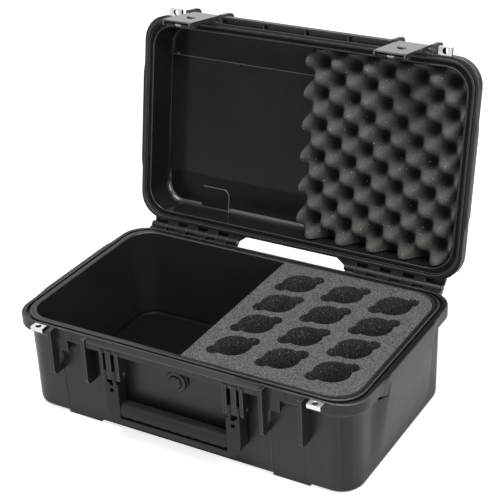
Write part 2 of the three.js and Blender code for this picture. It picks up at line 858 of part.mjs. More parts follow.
// The slanted web at a hinge's inboard end
function lidWebEnd(side) {
  const root = flangeFace - flangeWidth;
  const shape = shapeOf([
    [side * (knuckleStart + knucklePitch - sideGap), root],
    [side * (knuckleStart - webFlare), root],
    [side * (knuckleStart - webFlare), flangeFace],
    [side * knuckleStart, hingeY],
    [side * (knuckleStart + knucklePitch - sideGap), hingeY],
  ]);
  return alongZ(shape, hingeZ, hingeZ + barrelRadius);
}

function topPanel() {
  const [front, back] = [-ceilingPanelFront, ceilingPanelBack];
  return roundedPanel(topPanelHalfLength, front, back, lidTop - topPanelRise, lidTop + topPanelRise);
}

// A raised pad of the ceiling beside a hinge, with round front corners
function cornerPad(side, rise, around) {
  const centre = (side * (cornerPadFrom + cornerPadTo)) / 2;
  const half = (cornerPadTo - cornerPadFrom) / 2 + around;
  const corner = half - cornerPadRound;
  const back = insideHalfWidth + innerBottomOffset + wall / 4;
  const front = cornerPadFront - around + cornerPadRound;
  const shape = new THREE.Shape();
  shape.moveTo(centre + half, back);
  shape.lineTo(centre - half, back);
  shape.absarc(centre - corner, front, cornerPadRound, Math.PI, 1.5 * Math.PI);
  shape.absarc(centre + corner, front, cornerPadRound, 1.5 * Math.PI, 2 * Math.PI);
  return alongZ(shape, ceiling - rise, ceiling + wall / 4);
}

function lidShell() {
  const parts = [lidTray(), lidBeam(), topPanel()];
  const cuts = [];
  const pocket = latchCentre - latchPocketHalf;
  const outside = latchCentre + latchPocketHalf;
  for (const side of [-1, 1]) {
    parts.push(lidEar(side * (pocket - ribThickness), side * pocket));
    parts.push(lidEar(side * outside, side * (outside + ribThickness)));
    const tabBottom = rimHeight + lidPlateRise + plateSteel + seatGap;
    parts.push(padlockTab(side, tabBottom, tabBottom + padlockThickness));
    const flange = insideHalfLength + rimWidth + lidEndWidth;
    const shoulder = lidFlangeTop + flangeSlope;
    const far = lidTop - lidTopFillet;
    const [reach, half] = [lidBulgeReach, lidBulgeHalfWidth];
    parts.push(sideBulge(side, flange, reach, half, lidRim, shoulder, far));
    parts.push(lidWebEnd(side), cornerPad(side, cornerPadRise, 0));
    parts.push(hingeWeb(side, flangeFace - lidWebRoot, hingeY - lidWebInset, lidRim, 1));
    for (const [from, to] of knucklePlaces(false)) {
      parts.push(lidKnuckle(side, from, to));
    }
    const pinHole = latchPinRadius + seatGap;
    const pinFrom = side * (pocket - ribThickness - overrun);
    const pinTo = side * (outside + ribThickness + overrun);
    cuts.push(rodX(pinHole, pinFrom, pinTo, latchPivotY, latchPivotZ));
    cuts.push(hingeBore(side), padlockHoleCut(side));
  }
  const panelEnd = insideHalfLength + innerBottomOffset - ceilingPanelInset;
  const panelTop = ceiling + ceilingPanelDepth;
  const panelLow = ceiling - overrun;
  cuts.push(box(-panelEnd, panelEnd, -ceilingPanelFront, ceilingPanelBack, panelLow, panelTop));
  return joined(parts).subtract(joined(cuts));
}

function gasket() {
  const inner = tongueWidth / 2 - gasketWidth / 2;
  const outer = inner + gasketWidth;
  const low = rimHeight + gasketBottomGap;
  const high = lidRim + gasketGrooveDepth - seatGap;
  return skinned([
    roundedRing(outer, insideCorner, low),
    roundedRing(outer, insideCorner, high),
    roundedRing(inner, insideCorner, high),
    roundedRing(inner, insideCorner, low),
  ], true);
}

// Foam pieces, cut to the inside of the shell that holds them
function baseInsideRing(z, gap) {
  const low = floorTop + floorFillet;
  const share = Math.min(1, (z - low) / (wallTop - low));
  const rimShare = Math.max(0, (z - wallTop) / (rimHeight - wallTop));
  const offset = innerBottomOffset + draft * share + rimOverhang * rimShare - gap;
  const corner = innerCornerBottom + cornerDraft * share + cornerDraft * rimShare;
  return roundedRing(offset, corner, z);
}

function rightHalf(low, high) {
  const length = insideHalfLength + overrun;
  const width = insideHalfWidth + overrun;
  return box(foamLeft, length, -width, width, low - overrun, high + overrun);
}

function slotCut(x, y) {
  const low = padTop - overrun;
  const high = foamTop + overrun;
  const dx = slotLobeReach * Math.cos(slotLobeAngle * deg);
  const dy = slotLobeReach * Math.sin(slotLobeAngle * deg);
  return joined([
    rodZ(slotRadius, low, high, x, y, roundSteps + cornerSteps),
    rodZ(slotLobeRadius, low, high, x + dx, y + dy, lobeSteps),
    rodZ(slotLobeRadius, low, high, x - dx, y - dy, lobeSteps),
  ]);
}

function slottedFoam() {
  const cuts = [];
  for (let column = 0; column < slotColumns; column += 1) {
    for (let row = 0; row < slotRows; row += 1) {
      const x = slotFirstX + column * slotPitchX;
      const y = slotMiddleY + (row - (slotRows - 1) / 2) * slotPitchY;
      cuts.push(slotCut(x, y));
    }
  }
  const low = padTop + seatGap;
  const heights = [low, wallTop, foamTop];
  const body = skinned(heights.map((z) => baseInsideRing(z, foamSideGap)));
  return body.intersect(rightHalf(low, foamTop)).subtract(joined(cuts));
}

function foamPad() {
  const low = floorTop + seatGap;
  const inset = foamSideGap + floorFillet;
  const bottom = roundedRing(innerBottomOffset - inset, innerCornerBottom - floorFillet, low);
  const heights = [floorTop + floorFillet, padTop];
  const body = skinned([bottom, ...heights.map((z) => baseInsideRing(z, foamSideGap))]);
  return body.intersect(rightHalf(low, padTop));
}

function crateSurface(x, y) {
  const wave = Math.cos((Math.PI * (x - cratePhaseX)) / crateHalfWaveX)
    * Math.cos((Math.PI * (y - cratePhaseY)) / crateHalfWaveY);
  return rimHeight + crateValley - (crateHeight / 2) * (1 - wave);
}

function eggCrate() {
  const back = ceiling - seatGap;
  const right = insideHalfLength + innerBottomOffset - crateSideGap;
  const half = insideHalfWidth + innerBottomOffset - crateSideGap;
  const across = Math.round(((right - crateLeft) / crateHalfWaveX) * crateStepsPerWave);
  const along = Math.round(((2 * half) / crateHalfWaveY) * crateStepsPerWave);
  const positions = [];
  const index = [];
  for (let row = 0; row <= along; row += 1) {
    for (let column = 0; column <= across; column += 1) {
      const x = crateLeft + ((right - crateLeft) * column) / across;
      const y = -half + (2 * half * row) / along;
      positions.push(x, y, crateSurface(x, y));
    }
  }
  const at = (row, column) => row * (across + 1) + column;
  for (let row = 0; row < along; row += 1) {
    for (let column = 0; column < across; column += 1) {
      index.push(at(row, column), at(row + 1, column + 1), at(row, column + 1));
      index.push(at(row, column), at(row + 1, column), at(row + 1, column + 1));
    }
  }
  const edge = [];
  for (let column = 0; column < across; column += 1) edge.push(at(0, column));
  for (let row = 0; row < along; row += 1) edge.push(at(row, across));
  for (let column = across; column > 0; column -= 1) edge.push(at(along, column));
  for (let row = along; row > 0; row -= 1) edge.push(at(row, 0));
  const first = positions.length / 3;
  for (const point of edge) {
    positions.push(positions[point * 3], positions[point * 3 + 1], back);
  }
  const centre = positions.length / 3;
  positions.push((crateLeft + right) / 2, 0, back);
  edge.forEach((point, place) => {
    const next = (place + 1) % edge.length;
    index.push(point, edge[next], first + next);
    index.push(point, first + next, first + place);
    index.push(first + place, first + next, centre);
  });
  const geometry = new THREE.BufferGeometry();
  geometry.setAttribute('position', new THREE.Float32BufferAttribute(positions, 3));
  geometry.setIndex(index);
  const offset = innerBottomOffset - crateSideGap;
  const inside = skinned([
    roundedRing(-rimOverhang - crateSideGap, innerCornerTop, rimHeight),
    roundedRing(offset, innerCornerBottom, ceiling - ceilingFillet),
    roundedRing(offset - ceilingFillet, innerCornerBottom - ceilingFillet, ceiling),
  ]);
  return solidOf(geometry).intersect(inside).subtract(cornerPad(1, cornerPadRise + seatGap, sideGap));
}

// Steel padlock plates: a flat leaf with a fold down the front of the tab
function padlockPlate(side, leafLow, foldLow, foldHigh) {
  const inner = side * (padlockCentre - padlockHalf - seatGap);
  const outer = side * (padlockCentre + padlockHalf + seatGap);
  const front = padlockReach + seatGap + plateSteel;
  const leaf = box(inner, outer, -front, -flangeFace - sideGap, leafLow, leafLow + plateSteel);
  const fold = box(inner, outer, -front, -front + plateSteel, foldLow, foldHigh);
  return leaf.add(fold).subtract(padlockHoleCut(side));
}

function basePlate(side) {
  const top = rimHeight - basePlateTopDrop;
  return padlockPlate(side, top - plateSteel, top - padlockThickness - plateSteel, top);
}

function lidPlate(side) {
  const low = rimHeight + lidPlateRise;
  return padlockPlate(side, low, low, low + padlockThickness + plateSteel);
}

// Handle bail with forked arms, and its rubber grip
function bailOutline(top) {
  const corner = bailHalfWidth - bailCorner;
  const low = bailBottom + bailCorner;
  const outline = new THREE.Shape();
  outline.moveTo(-bailHalfWidth, top);
  outline.lineTo(-bailHalfWidth, low);
  outline.absarc(-corner, low, bailCorner, Math.PI, 1.5 * Math.PI);
  outline.absarc(corner, low, bailCorner, 1.5 * Math.PI, 2 * Math.PI);
  outline.lineTo(bailHalfWidth, top);
  return outline;
}

// What is cut from one arm: gaps for the fins, room behind the fork, the pin's bore, two holes
function armCuts(side, top) {
  const front = -bailFront - overrun;
  const back = -bailBack + overrun;
  const high = top + overrun;
  const low = handlePinZ - bailShoulderDrop;
  const inside = side * (bailInnerHalf - overrun);
  const outside = side * (bailHalfWidth + overrun);
  const middleFrom = side * (middleFinFrom - sideGap);
  const middleTo = side * (middleFinTo + sideGap);
  const cuts = [
    box(inside, side * (innerFinTo + sideGap), front, back, low, high),
    box(middleFrom, middleTo, front, back, low, high),
    box(inside, outside, handlePinY + tineRise, back, low, high),
    rodX(pinRadius + seatGap, inside, outside, handlePinY, handlePinZ),
  ];
  const x = (side * (bailHalfWidth + bailInnerHalf)) / 2;
  const half = armHoleSide / 2;
  for (const place of [0, 1]) {
    const z = handlePinZ - armHoleDrop - place * armHolePitch;
    cuts.push(box(x - half, x + half, front, -bailFront + armHoleDepth, z - half, z + half));
  }
  return cuts;
}

function handleFrame() {
  const top = handlePinZ + tineRise;
  const lip = bailBottom + bailLip;
  const inner = bailInnerHalf;
  const opening = box(-inner, inner, -bailFront - overrun, -bailBack + overrun, lip, top + overrun);
  const core = box(-inner - overrun, inner + overrun, -coreFront, -coreBack, lip - overrun, coreTop);
  const cuts = [opening, ...armCuts(-1, top), ...armCuts(1, top)];
  return alongY(bailOutline(top), -bailFront, -bailBack).subtract(joined(cuts)).add(core);
}

// A rounded square section of the grip at x, drawn in from its widest by an inset
function gripRing(x, inset) {
  const low = bailBottom + bailLip + gripOut;
  const high = (gripTop - low) / 2;
  const deep = (bailFront + gripOut - gripBack) / 2;
  const ring = [];
  for (let point = 0; point < gripSectionPoints; point += 1) {
    const angle = (2 * Math.PI * (point + 0.5)) / gripSectionPoints;
    const across = Math.sign(Math.cos(angle)) * Math.abs(Math.cos(angle)) ** gripSquareness;
    const up = Math.sign(Math.sin(angle)) * Math.abs(Math.sin(angle)) ** gripSquareness;
    ring.push([x, (deep - inset) * across - gripBack - deep, low + high + (high - inset) * up]);
  }
  return ring;
}

function handleGrip() {
  const half = bailInnerHalf - gripOut;
  const stations = gripLumps * gripStepsPerLump;
  const rings = [];
  for (let station = 0; station <= stations; station += 1) {
    const share = station / stations;
    const swell = (1 - Math.cos(2 * Math.PI * share * gripLumps)) / 2;
    rings.push(gripRing(-half + 2 * half * share, gripWave * (1 - swell)));
  }
  const past = half + overrun;
  const low = bailBottom + bailLip - overrun;
  const slot = box(-past, past, -coreFront - gripOut, -coreBack + gripOut, low, coreTop + gripOut);
  return skinned(rings).subtract(slot);
}

// Latch lever with its cheeks, drawn latched: the plate leans in towards its lower end
function leverFace(z) {
  return -leverFront + (latchPivotZ - z) * Math.tan(leverTilt * deg);
}

function leverPlateSolid(centre) {
  const top = latchPivotZ + overrun;
  const plan = shapeOf([
    [centre - leverHalf, top],
    [centre - leverHalf, leverBottom + leverChamfer],
    [centre - leverHalf + leverChamfer, leverBottom],
    [centre + leverHalf - leverChamfer, leverBottom],
    [centre + leverHalf, leverBottom + leverChamfer],
    [centre + leverHalf, top],
  ]);
  const profile = shapeOf([
    [leverFace(top), top],
    [leverFace(leverBottom), leverBottom],
    [leverFace(leverBottom) + leverPlate, leverBottom],
    [leverFace(top) + leverPlate, top],
  ]);
  const sheet = alongX(profile, centre - leverHalf, centre + leverHalf);
  return sheet.intersect(alongY(plan, -leverFront - overrun, -wallFace));
}

// The plain round mark on the plate, square to its leaning face
function leverMark(centre) {
  const z = latchPivotZ - leverMarkDrop;
  const depth = leverMarkRise + leverPlate / 2;
  const geometry = new THREE.CylinderGeometry(leverMarkRadius, leverMarkRadius, depth, roundSteps);
  geometry.translate(0, leverMarkRise - depth / 2, 0);
  geometry.rotateX(Math.PI - leverTilt * deg);
  geometry.translate(centre, leverFace(z), z);
  return solidOf(geometry);
}

function leverCheek() {
  const cheek = new THREE.Shape();
  const middle = leverPlate / 2;
  const round = -cheekDeep - cheekRound;
  cheek.moveTo(leverFace(latchPivotZ) + middle, latchPivotZ);
  cheek.lineTo(leverFace(leverBottom + leverChamfer) + middle, leverBottom + leverChamfer);
  cheek.lineTo(leverFace(leverBottom) + middle, leverBottom);
  cheek.lineTo(round, leverBottom);
  cheek.absarc(round, leverBottom + cheekRound, cheekRound, -Math.PI / 2, 0);
  cheek.lineTo(-cheekDeep, cheekSlopeBottom);
  cheek.lineTo(-cheekShallow, cheekSlopeTop);
  cheek.lineTo(-cheekShallow, latchPivotZ);
  return cheek;
}

function latchLever(centre) {
  const from = centre - leverHalf;
  const to = centre + leverHalf;
  const barrel = rodX(leverBarrel, from, to, latchPivotY, latchPivotZ);
  const parts = [leverPlateSolid(centre), barrel, leverMark(centre)];
  for (const side of [-1, 1]) {
    const outer = centre + side * leverHalf;
    parts.push(alongX(leverCheek(), outer, outer - side * cheekThickness));
  }
  const pinHole = latchPinRadius + seatGap;
  const triggerHole = triggerPinRadius + seatGap;
  return joined(parts).subtract(joined([
    rodX(pinHole, from - overrun, to + overrun, latchPivotY, latchPivotZ),
    rodX(triggerHole, from - overrun, to + overrun, triggerPinY, triggerPinZ),
  ]));
}

function trigger(centre) {
  const half = leverHalf - cheekThickness - sideGap;
  const past = half + overrun;
  const back = -triggerFront + triggerThickness;
  const top = catchBottom - seatGap;
  const profile = shapeOf([
    [triggerPinY - triggerBarrel, triggerPinZ],
    [-triggerFront, top],
    [-hookBack, top],
    [-hookBack, top - hookHeight],
    [back, top - hookHeight],
    [back, fingerBarTo],
    [-fingerBarBack, fingerBarTo],
    [-fingerBarBack, fingerBarFrom],
    [back, fingerBarFrom],
    [back, triggerPinZ],
  ]);
  const blade = alongX(profile, centre - half, centre + half);
  const barrel = rodX(triggerBarrel, centre - half, centre + half, triggerPinY, triggerPinZ);
  const boreRadius = triggerPinRadius + seatGap;
  const bore = rodX(boreRadius, centre - past, centre + past, triggerPinY, triggerPinZ);
  const room = triggerBarrel + sideGap;
  const slot = box(
    centre - springSlotHalf,
    centre + springSlotHalf,
    triggerPinY - room,
    triggerPinY + room,
    triggerPinZ - room,
    triggerPinZ + room,
  );
  return blade.add(barrel).subtract(bore.add(slot));
}

// Torsion spring round the trigger's pin: one unbroken wire
function springPlace(step) {
  const turn = (2 * Math.PI * step) / springStepsPerTurn;
  const along = (step / springStepsPerTurn - springTurns / 2) * springPitch;
  return [along, springCoilRadius * Math.cos(turn), springCoilRadius * Math.sin(turn)];
}

function triggerSpring(centre) {
  const rings = [];
  for (let step = 0; step <= springTurns * springStepsPerTurn; step += 1) {
    const [along, out, up] = springPlace(step);
    const ring = [];
    for (let side = 0; side < springSides; side += 1) {
      const angle = (2 * Math.PI * side) / springSides;
      const grow = 1 + (springWire / 2 / springCoilRadius) * Math.cos(angle);
      const x = centre + along - (springWire / 2) * Math.sin(angle);
      ring.push([x, triggerPinY + out * grow, triggerPinZ + up * grow]);
    }
    rings.push(ring);
  }
  return skinned(rings);
}

// The least gap of a spring to itself, on the points of its centre line a half turn or more apart
function springLeastGap() {
  const last = springTurns * springStepsPerTurn;
  let least = Infinity;
  for (let step = 0; step <= last; step += 1) {
    for (let other = step + springStepsPerTurn / 2; other <= last; other += 1) {
      const from = new THREE.Vector3(...springPlace(step));
      least = Math.min(least, from.distanceTo(new THREE.Vector3(...springPlace(other))));
    }
  }
  return least - springWire;
}

// Valve: a flanged body on a boss of the front wall, and its cap
function turnedOnFront(profile, y) {
  const points = profile.map(([radius, height]) => new THREE.Vector2(radius, height));
  const geometry = new THREE.LatheGeometry(points, valveSteps);
  geometry.rotateX(Math.PI);
  geometry.translate(0, y, valveHeight);
  return solidOf(geometry);
}

function valveBody() {
  const seat = -wallFace - valveBoss - seatGap;
  const recess = valveThickness - valveCapRise;
  return turnedOnFront([
    [0, -valveStemLength],
    [valveStemRadius, -valveStemLength],
    [valveStemRadius, 0],
    [valveRadius, 0],
    [valveRadius, valveThickness - flangeChamfer],
    [valveRadius - flangeChamfer, valveThickness],
    [valveCapRadius + sideGap, valveThickness],
    [valveCapRadius + sideGap, recess],
    [0, recess],
  ], seat);
}

function valveCap() {
  const seat = -wallFace - valveBoss - seatGap - valveThickness + valveCapRise - seatGap;
  const height = valveCapRise * 2;
  return turnedOnFront([
    [0, 0],
    [valveCapRadius, 0],
    [valveCapRadius, height - flangeChamfer],
    [valveCapRadius - flangeChamfer, height],
    [0, height],
  ], seat);
}

// Materials and the assembly of named pieces
function plastic(color, roughness) {
  return new THREE.MeshStandardMaterial({ color, roughness, metalness: 0, flatShading: true });
}

function metal(color, roughness) {
  return new THREE.MeshStandardMaterial({ color, roughness, metalness: 1, flatShading: true });
}

function addPiece(parent, name, solid, material) {
  const mesh = solid.getMesh();
  const geometry = new THREE.BufferGeometry();
  geometry.setAttribute('position', new THREE.Float32BufferAttribute(mesh.vertProperties, 3));
  geometry.setIndex(Array.from(mesh.triVerts));
  geometry.computeVertexNormals();
  const piece = new THREE.Mesh(geometry, material);
  piece.name = name;
  parent.add(piece);
}

// A group turned about a line along X through y and z, whose children are drawn unturned
function turnedGroup(parent, y, z, degrees) {
  const turned = new THREE.Group();
  turned.position.set(0, y, z);
  turned.rotation.x = degrees * deg;
  const inner = new THREE.Group();
  inner.position.set(0, -y, -z);
  turned.add(inner);
  parent.add(turned);
  return inner;
}

const microphoneCase = new THREE.Group();
const sides = [['left', -1], ['right', 1]];
const shellBlack = 0x2b2b29;
const steelGrey = 0xc9c9c4;
const foamGrey = 0x6a6b68;
const crateGrey = 0x3c3c3b;
const rubberBlack = 0x1c1c1b;

addPiece(microphoneCase, 'base_shell', baseShell(), plastic(shellBlack, 0.55));
addPiece(microphoneCase, 'foam_base_pad', foamPad(), plastic(foamGrey, 0.95));
addPiece(microphoneCase, 'foam_slot_block', slottedFoam(), plastic(foamGrey, 0.95));
addPiece(microphoneCase, 'pressure_valve_body', valveBody(), plastic(shellBlack, 0.5));
addPiece(microphoneCase, 'pressure_valve_cap', valveCap(), plastic(shellBlack, 0.4));

for (const [side, sign] of sides) {
  addPiece(microphoneCase, `padlock_plate_base_${side}`, basePlate(sign), metal(steelGrey, 0.3));
  const pinFrom = sign * innerFinFrom;
  const pinTo = sign * outerFinTo;
  const handlePin = rodX(pinRadius, pinFrom, pinTo, handlePinY, handlePinZ);
  addPiece(microphoneCase, `handle_pin_${side}`, handlePin, metal(steelGrey, 0.35));
  const hingeEnd = knuckleStart + knuckleCount * knucklePitch + endKnuckle - wall - sideGap;
  const hingePin = rodX(hingePinRadius, sign * knuckleStart, sign * hingeEnd, hingeY, hingeZ);
  addPiece(microphoneCase, `hinge_pin_${side}`, hingePin, metal(steelGrey, 0.35));
}

const handle = turnedGroup(microphoneCase, handlePinY, handlePinZ, 0);
addPiece(handle, 'handle_frame', handleFrame(), plastic(shellBlack, 0.5));
addPiece(handle, 'handle_grip', handleGrip(), plastic(rubberBlack, 0.8));

const lid = turnedGroup(microphoneCase, hingeY, hingeZ, -lidOpenAngle);
addPiece(lid, 'lid_shell', lidShell(), plastic(shellBlack, 0.55));
addPiece(lid, 'lid_gasket', gasket(), plastic(rubberBlack, 0.8));
addPiece(lid, 'lid_egg_crate_foam', eggCrate(), plastic(crateGrey, 0.95));

for (const [side, sign] of sides) {
  const centre = sign * latchCentre;
  const pinReach = latchPocketHalf + ribThickness - sideGap;
  const pivotPin = rodX(latchPinRadius, centre - pinReach, centre + pinReach, latchPivotY, latchPivotZ);
  addPiece(lid, `padlock_plate_lid_${side}`, lidPlate(sign), metal(steelGrey, 0.3));
  addPiece(lid, `latch_pin_${side}`, pivotPin, metal(steelGrey, 0.35));
  const latch = turnedGroup(lid, latchPivotY, latchPivotZ, -latchRestAngle);
  const triggerPinHalf = leverHalf - sideGap;
  const pinFrom = centre - triggerPinHalf;
  const pinTo = centre + triggerPinHalf;
  const triggerPin = rodX(triggerPinRadius, pinFrom, pinTo, triggerPinY, triggerPinZ);
  addPiece(latch, `latch_lever_${side}`, latchLever(centre), plastic(shellBlack, 0.4));
  addPiece(latch, `trigger_pin_${side}`, triggerPin, metal(steelGrey, 0.35));
  addPiece(latch, `trigger_spring_${side}`, triggerSpring(centre), metal(steelGrey, 0.4));
  addPiece(latch, `latch_trigger_${side}`, trigger(centre), plastic(shellBlack, 0.5));
}

console.log(`trigger springs: least gap to itself ${springLeastGap().toFixed(2)} mm`);

export default microphoneCase;
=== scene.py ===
# %% [markdown]
# # A hard case for hand-held microphones
# The case is two moulded shells joined by hinges. Its base and lid each hold foam on the right
# and stand bare on the left. The shells, latches, handle and steel parts come from the frame,
# where every size is already true, and this script gives them their surfaces. The foam, the
# rubber ring in the lid and the soft grip are made here as pieces of their own, because a solid
# from the frame can't show how soft things look.

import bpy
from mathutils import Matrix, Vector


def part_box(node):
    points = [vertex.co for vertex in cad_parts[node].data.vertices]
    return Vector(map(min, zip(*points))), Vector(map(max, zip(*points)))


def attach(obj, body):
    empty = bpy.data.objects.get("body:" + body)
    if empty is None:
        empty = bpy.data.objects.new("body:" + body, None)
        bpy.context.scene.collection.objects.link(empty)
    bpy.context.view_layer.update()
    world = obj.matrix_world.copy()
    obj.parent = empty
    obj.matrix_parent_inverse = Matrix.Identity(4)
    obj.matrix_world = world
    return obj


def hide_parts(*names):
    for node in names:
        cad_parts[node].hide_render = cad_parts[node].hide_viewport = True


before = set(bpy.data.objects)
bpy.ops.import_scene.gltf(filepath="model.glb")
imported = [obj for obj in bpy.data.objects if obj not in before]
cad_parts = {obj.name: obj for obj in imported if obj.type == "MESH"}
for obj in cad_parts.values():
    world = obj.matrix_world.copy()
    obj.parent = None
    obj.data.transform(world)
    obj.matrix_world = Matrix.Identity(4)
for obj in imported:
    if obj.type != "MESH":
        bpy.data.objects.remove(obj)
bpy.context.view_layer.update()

import math

import bmesh
import bpy
from mathutils import Matrix, Vector

MM = 0.001
scene = bpy.context.scene

# %% [markdown]
# ## The camera
# The photograph looks down on the case from its front right. A camera in Blender looks along
# its own minus Z, so its three axes are written as the columns of a matrix: right, up and back.
# A small roll is added last, because the photograph leans by a few degrees. The focal length is
# measured in pixels of the square frame and turned into millimetres of the sensor.

# %% Camera
CAMERA_AZIMUTH = math.radians(30.99)
CAMERA_ELEVATION = math.radians(27.41)
CAMERA_ROLL = math.radians(-2.58)
CAMERA_PLACE = Vector((0.9352, -1.5019, 1.1650))
FOCAL_PIXELS = 1387.7
FRAME_PIXELS = 500
SENSOR_MM = 36

camera_data = bpy.data.cameras.new("camera")
camera_data.sensor_width = SENSOR_MM
camera_data.lens = FOCAL_PIXELS / FRAME_PIXELS * SENSOR_MM
camera = bpy.data.objects.new("camera", camera_data)
scene.collection.objects.link(camera)
scene.camera = camera

back = Vector((
    math.sin(CAMERA_AZIMUTH) * math.cos(CAMERA_ELEVATION),
    -math.cos(CAMERA_AZIMUTH) * math.cos(CAMERA_ELEVATION),
    math.sin(CAMERA_ELEVATION),
))
level = Vector((math.cos(CAMERA_AZIMUTH), math.sin(CAMERA_AZIMUTH), 0))
right = level * math.cos(CAMERA_ROLL) + back.cross(level) * math.sin(CAMERA_ROLL)
up = back.cross(right)
camera_axes = Matrix((right, up, back)).transposed()
camera.matrix_world = Matrix.Translation(CAMERA_PLACE) @ camera_axes.to_4x4()
print("lens:", round(camera_data.lens, 2), "mm")

# %% [markdown]
# ## Helpers that read a pattern
# Every finish below is a small network of nodes on one Principled shader. The patterns read
# Object coordinates, which are metres here, so a noise of scale 1000 has grains of about a
# millimetre. A helper that adds a node and links it keeps each finish short enough to read.

# %% Pattern helpers
def new_material(name):
    material = bpy.data.materials.new(name)
    material.use_nodes = True
    tree = material.node_tree
    shader = tree.nodes["Principled BSDF"]
    coordinates = tree.nodes.new("ShaderNodeTexCoord")
    return material, tree, shader, coordinates.outputs["Object"]


def add_noise(tree, place, scale, detail=2.0, roughness=0.5):
    noise = tree.nodes.new("ShaderNodeTexNoise")
    noise.inputs["Scale"].default_value = scale
    noise.inputs["Detail"].default_value = detail
    noise.inputs["Roughness"].default_value = roughness
    tree.links.new(place, noise.inputs["Vector"])
    return noise.outputs["Fac"]


def add_cells(tree, place, scale):
    cells = tree.nodes.new("ShaderNodeTexVoronoi")
    cells.inputs["Scale"].default_value = scale
    tree.links.new(place, cells.inputs["Vector"])
    return cells.outputs


def add_stretch(tree, place, scale):
    mapping = tree.nodes.new("ShaderNodeMapping")
    mapping.inputs["Scale"].default_value = scale
    tree.links.new(place, mapping.inputs["Vector"])
    return mapping.outputs["Vector"]

# %% [markdown]
# ## Helpers that use a pattern
# A pattern is a number between 0 and 1 at every point of a surface. A ramp makes a colour of it,
# a range makes a roughness of it, a bump makes it tilt the surface, and a sum or a comparison
# joins it with another. Each helper returns the socket that the next one takes. Shades are a
# ramp of one colour, given as pairs: a place on the pattern, and what the colour is times there.

# %% Helpers for colour, range, bump and sums
def add_ramp(tree, value, stops):
    ramp = tree.nodes.new("ShaderNodeValToRGB")
    points = ramp.color_ramp.elements
    while len(points) < len(stops):
        points.new(0.5)
    for point, (where, colour) in zip(points, stops):
        point.position = where
        point.color = (*colour, 1)
    tree.links.new(value, ramp.inputs["Fac"])
    return ramp.outputs["Color"]


def add_range(tree, value, low, high):
    spread = tree.nodes.new("ShaderNodeMapRange")
    spread.inputs["To Min"].default_value = low
    spread.inputs["To Max"].default_value = high
    tree.links.new(value, spread.inputs["Value"])
    return spread.outputs["Result"]


def add_bump(tree, height, strength, distance):
    bump = tree.nodes.new("ShaderNodeBump")
    bump.inputs["Strength"].default_value = strength
    bump.inputs["Distance"].default_value = distance
    tree.links.new(height, bump.inputs["Height"])
    return bump.outputs["Normal"]


def add_math(tree, operation, first, second):
    sum_node = tree.nodes.new("ShaderNodeMath")
    sum_node.operation = operation
    tree.links.new(first, sum_node.inputs[0])
    if isinstance(second, (int, float)):
        sum_node.inputs[1].default_value = second
    else:
        tree.links.new(second, sum_node.inputs[1])
    return sum_node.outputs["Value"]


def shaded(colour, factor):
    return tuple(min(1.0, channel * factor) for channel in colour)


def add_shades(tree, value, colour, shades):
    stops = [(where, shaded(colour, factor)) for where, factor in shades]
    return add_ramp(tree, value, stops)

# %% [markdown]
# ## Moulded plastic
# The shells are black plastic out of a mould whose walls were etched, so they carry a fine even
# grain and no polish. Broad soft changes of shade keep large walls from looking like flat card.
# The grain goes into the bump, and a slower noise moves the roughness a little, which breaks up
# the reflections as they break up on a real moulding. Cutting the grain into the mesh would take
# millions of faces for the same look.

# %% Plastic finish
SHADE_SCALE, SHADE_DETAIL = 7, 3
PLASTIC_SHADES = ((0.3, 0.86), (0.7, 1.14))
PATCH_SCALE, PATCH_DETAIL, PATCH_ROUGHNESS = 45, 4, 0.6
GRAIN_STRENGTH = 0.35
WARM_GLOSS = (1.0, 1.0, 0.94, 1)


def moulded_plastic(name, colour, roughness, gloss_level, grain=900, depth=0.06 * MM, spread=0.06):
    material, tree, shader, place = new_material(name)
    broad = add_noise(tree, place, SHADE_SCALE, SHADE_DETAIL)
    shade = add_shades(tree, broad, colour, PLASTIC_SHADES)
    tree.links.new(shade, shader.inputs["Base Color"])
    patches = add_noise(tree, place, PATCH_SCALE, PATCH_DETAIL, PATCH_ROUGHNESS)
    gloss = add_range(tree, patches, roughness - spread, roughness + spread)
    tree.links.new(gloss, shader.inputs["Roughness"])
    fine = add_noise(tree, place, grain)
    tree.links.new(add_bump(tree, fine, GRAIN_STRENGTH, depth), shader.inputs["Normal"])
    shader.inputs["Specular IOR Level"].default_value = gloss_level
    shader.inputs["Specular Tint"].default_value = WARM_GLOSS
    return material


shell_plastic = moulded_plastic("shell_plastic", (0.0085, 0.0085, 0.0075), 0.36, 0.42)
handle_plastic = moulded_plastic("handle_plastic", (0.007, 0.007, 0.006), 0.38, 0.30)
valve_plastic = moulded_plastic("valve_plastic", (0.009, 0.009, 0.008), 0.36, 0.40)
trigger_plastic = moulded_plastic("trigger_plastic", (0.009, 0.009, 0.009), 0.34, 0.42)
# The latches' colour is paler than the shell's, a painted highlight for the light on their faces.
latch_plastic = moulded_plastic(
    "latch_plastic", (0.030, 0.034, 0.036), 0.09, 0.7, grain=1200, depth=0.005 * MM, spread=0.02
)
print("outer plastics: shell, handle, valve, trigger and latch")

# %% [markdown]
# ## Plastic off the core
# The inside of a moulding comes off the mould's core, which isn't etched, so it is smoother and
# glossier than the outside. It is one plastic on the real case, but the light of the photograph
# leaves its regions very different: the tub, the bay's floor, the ceiling, the round corner
# under it and its lower step. Each region gets a shade and a gloss that bring it to the same
# brightness here, so the colours carry painted light and shade: the tub's is painted lighter, the
# bay's and the step's carry painted shade, and the corner's is a painted highlight. Rubbed edges
# are paler, partly from wear and partly as a painted highlight, and the beads' pale colour is a
# painted highlight.

# %% Inner plastics
CORE_GRAIN = {"grain": 500, "depth": 0.01 * MM}
CORNER_GRAIN = {"grain": 300, "depth": 0.03 * MM}
RUBBED_GRAIN = {"grain": 600, "depth": 0.02 * MM}

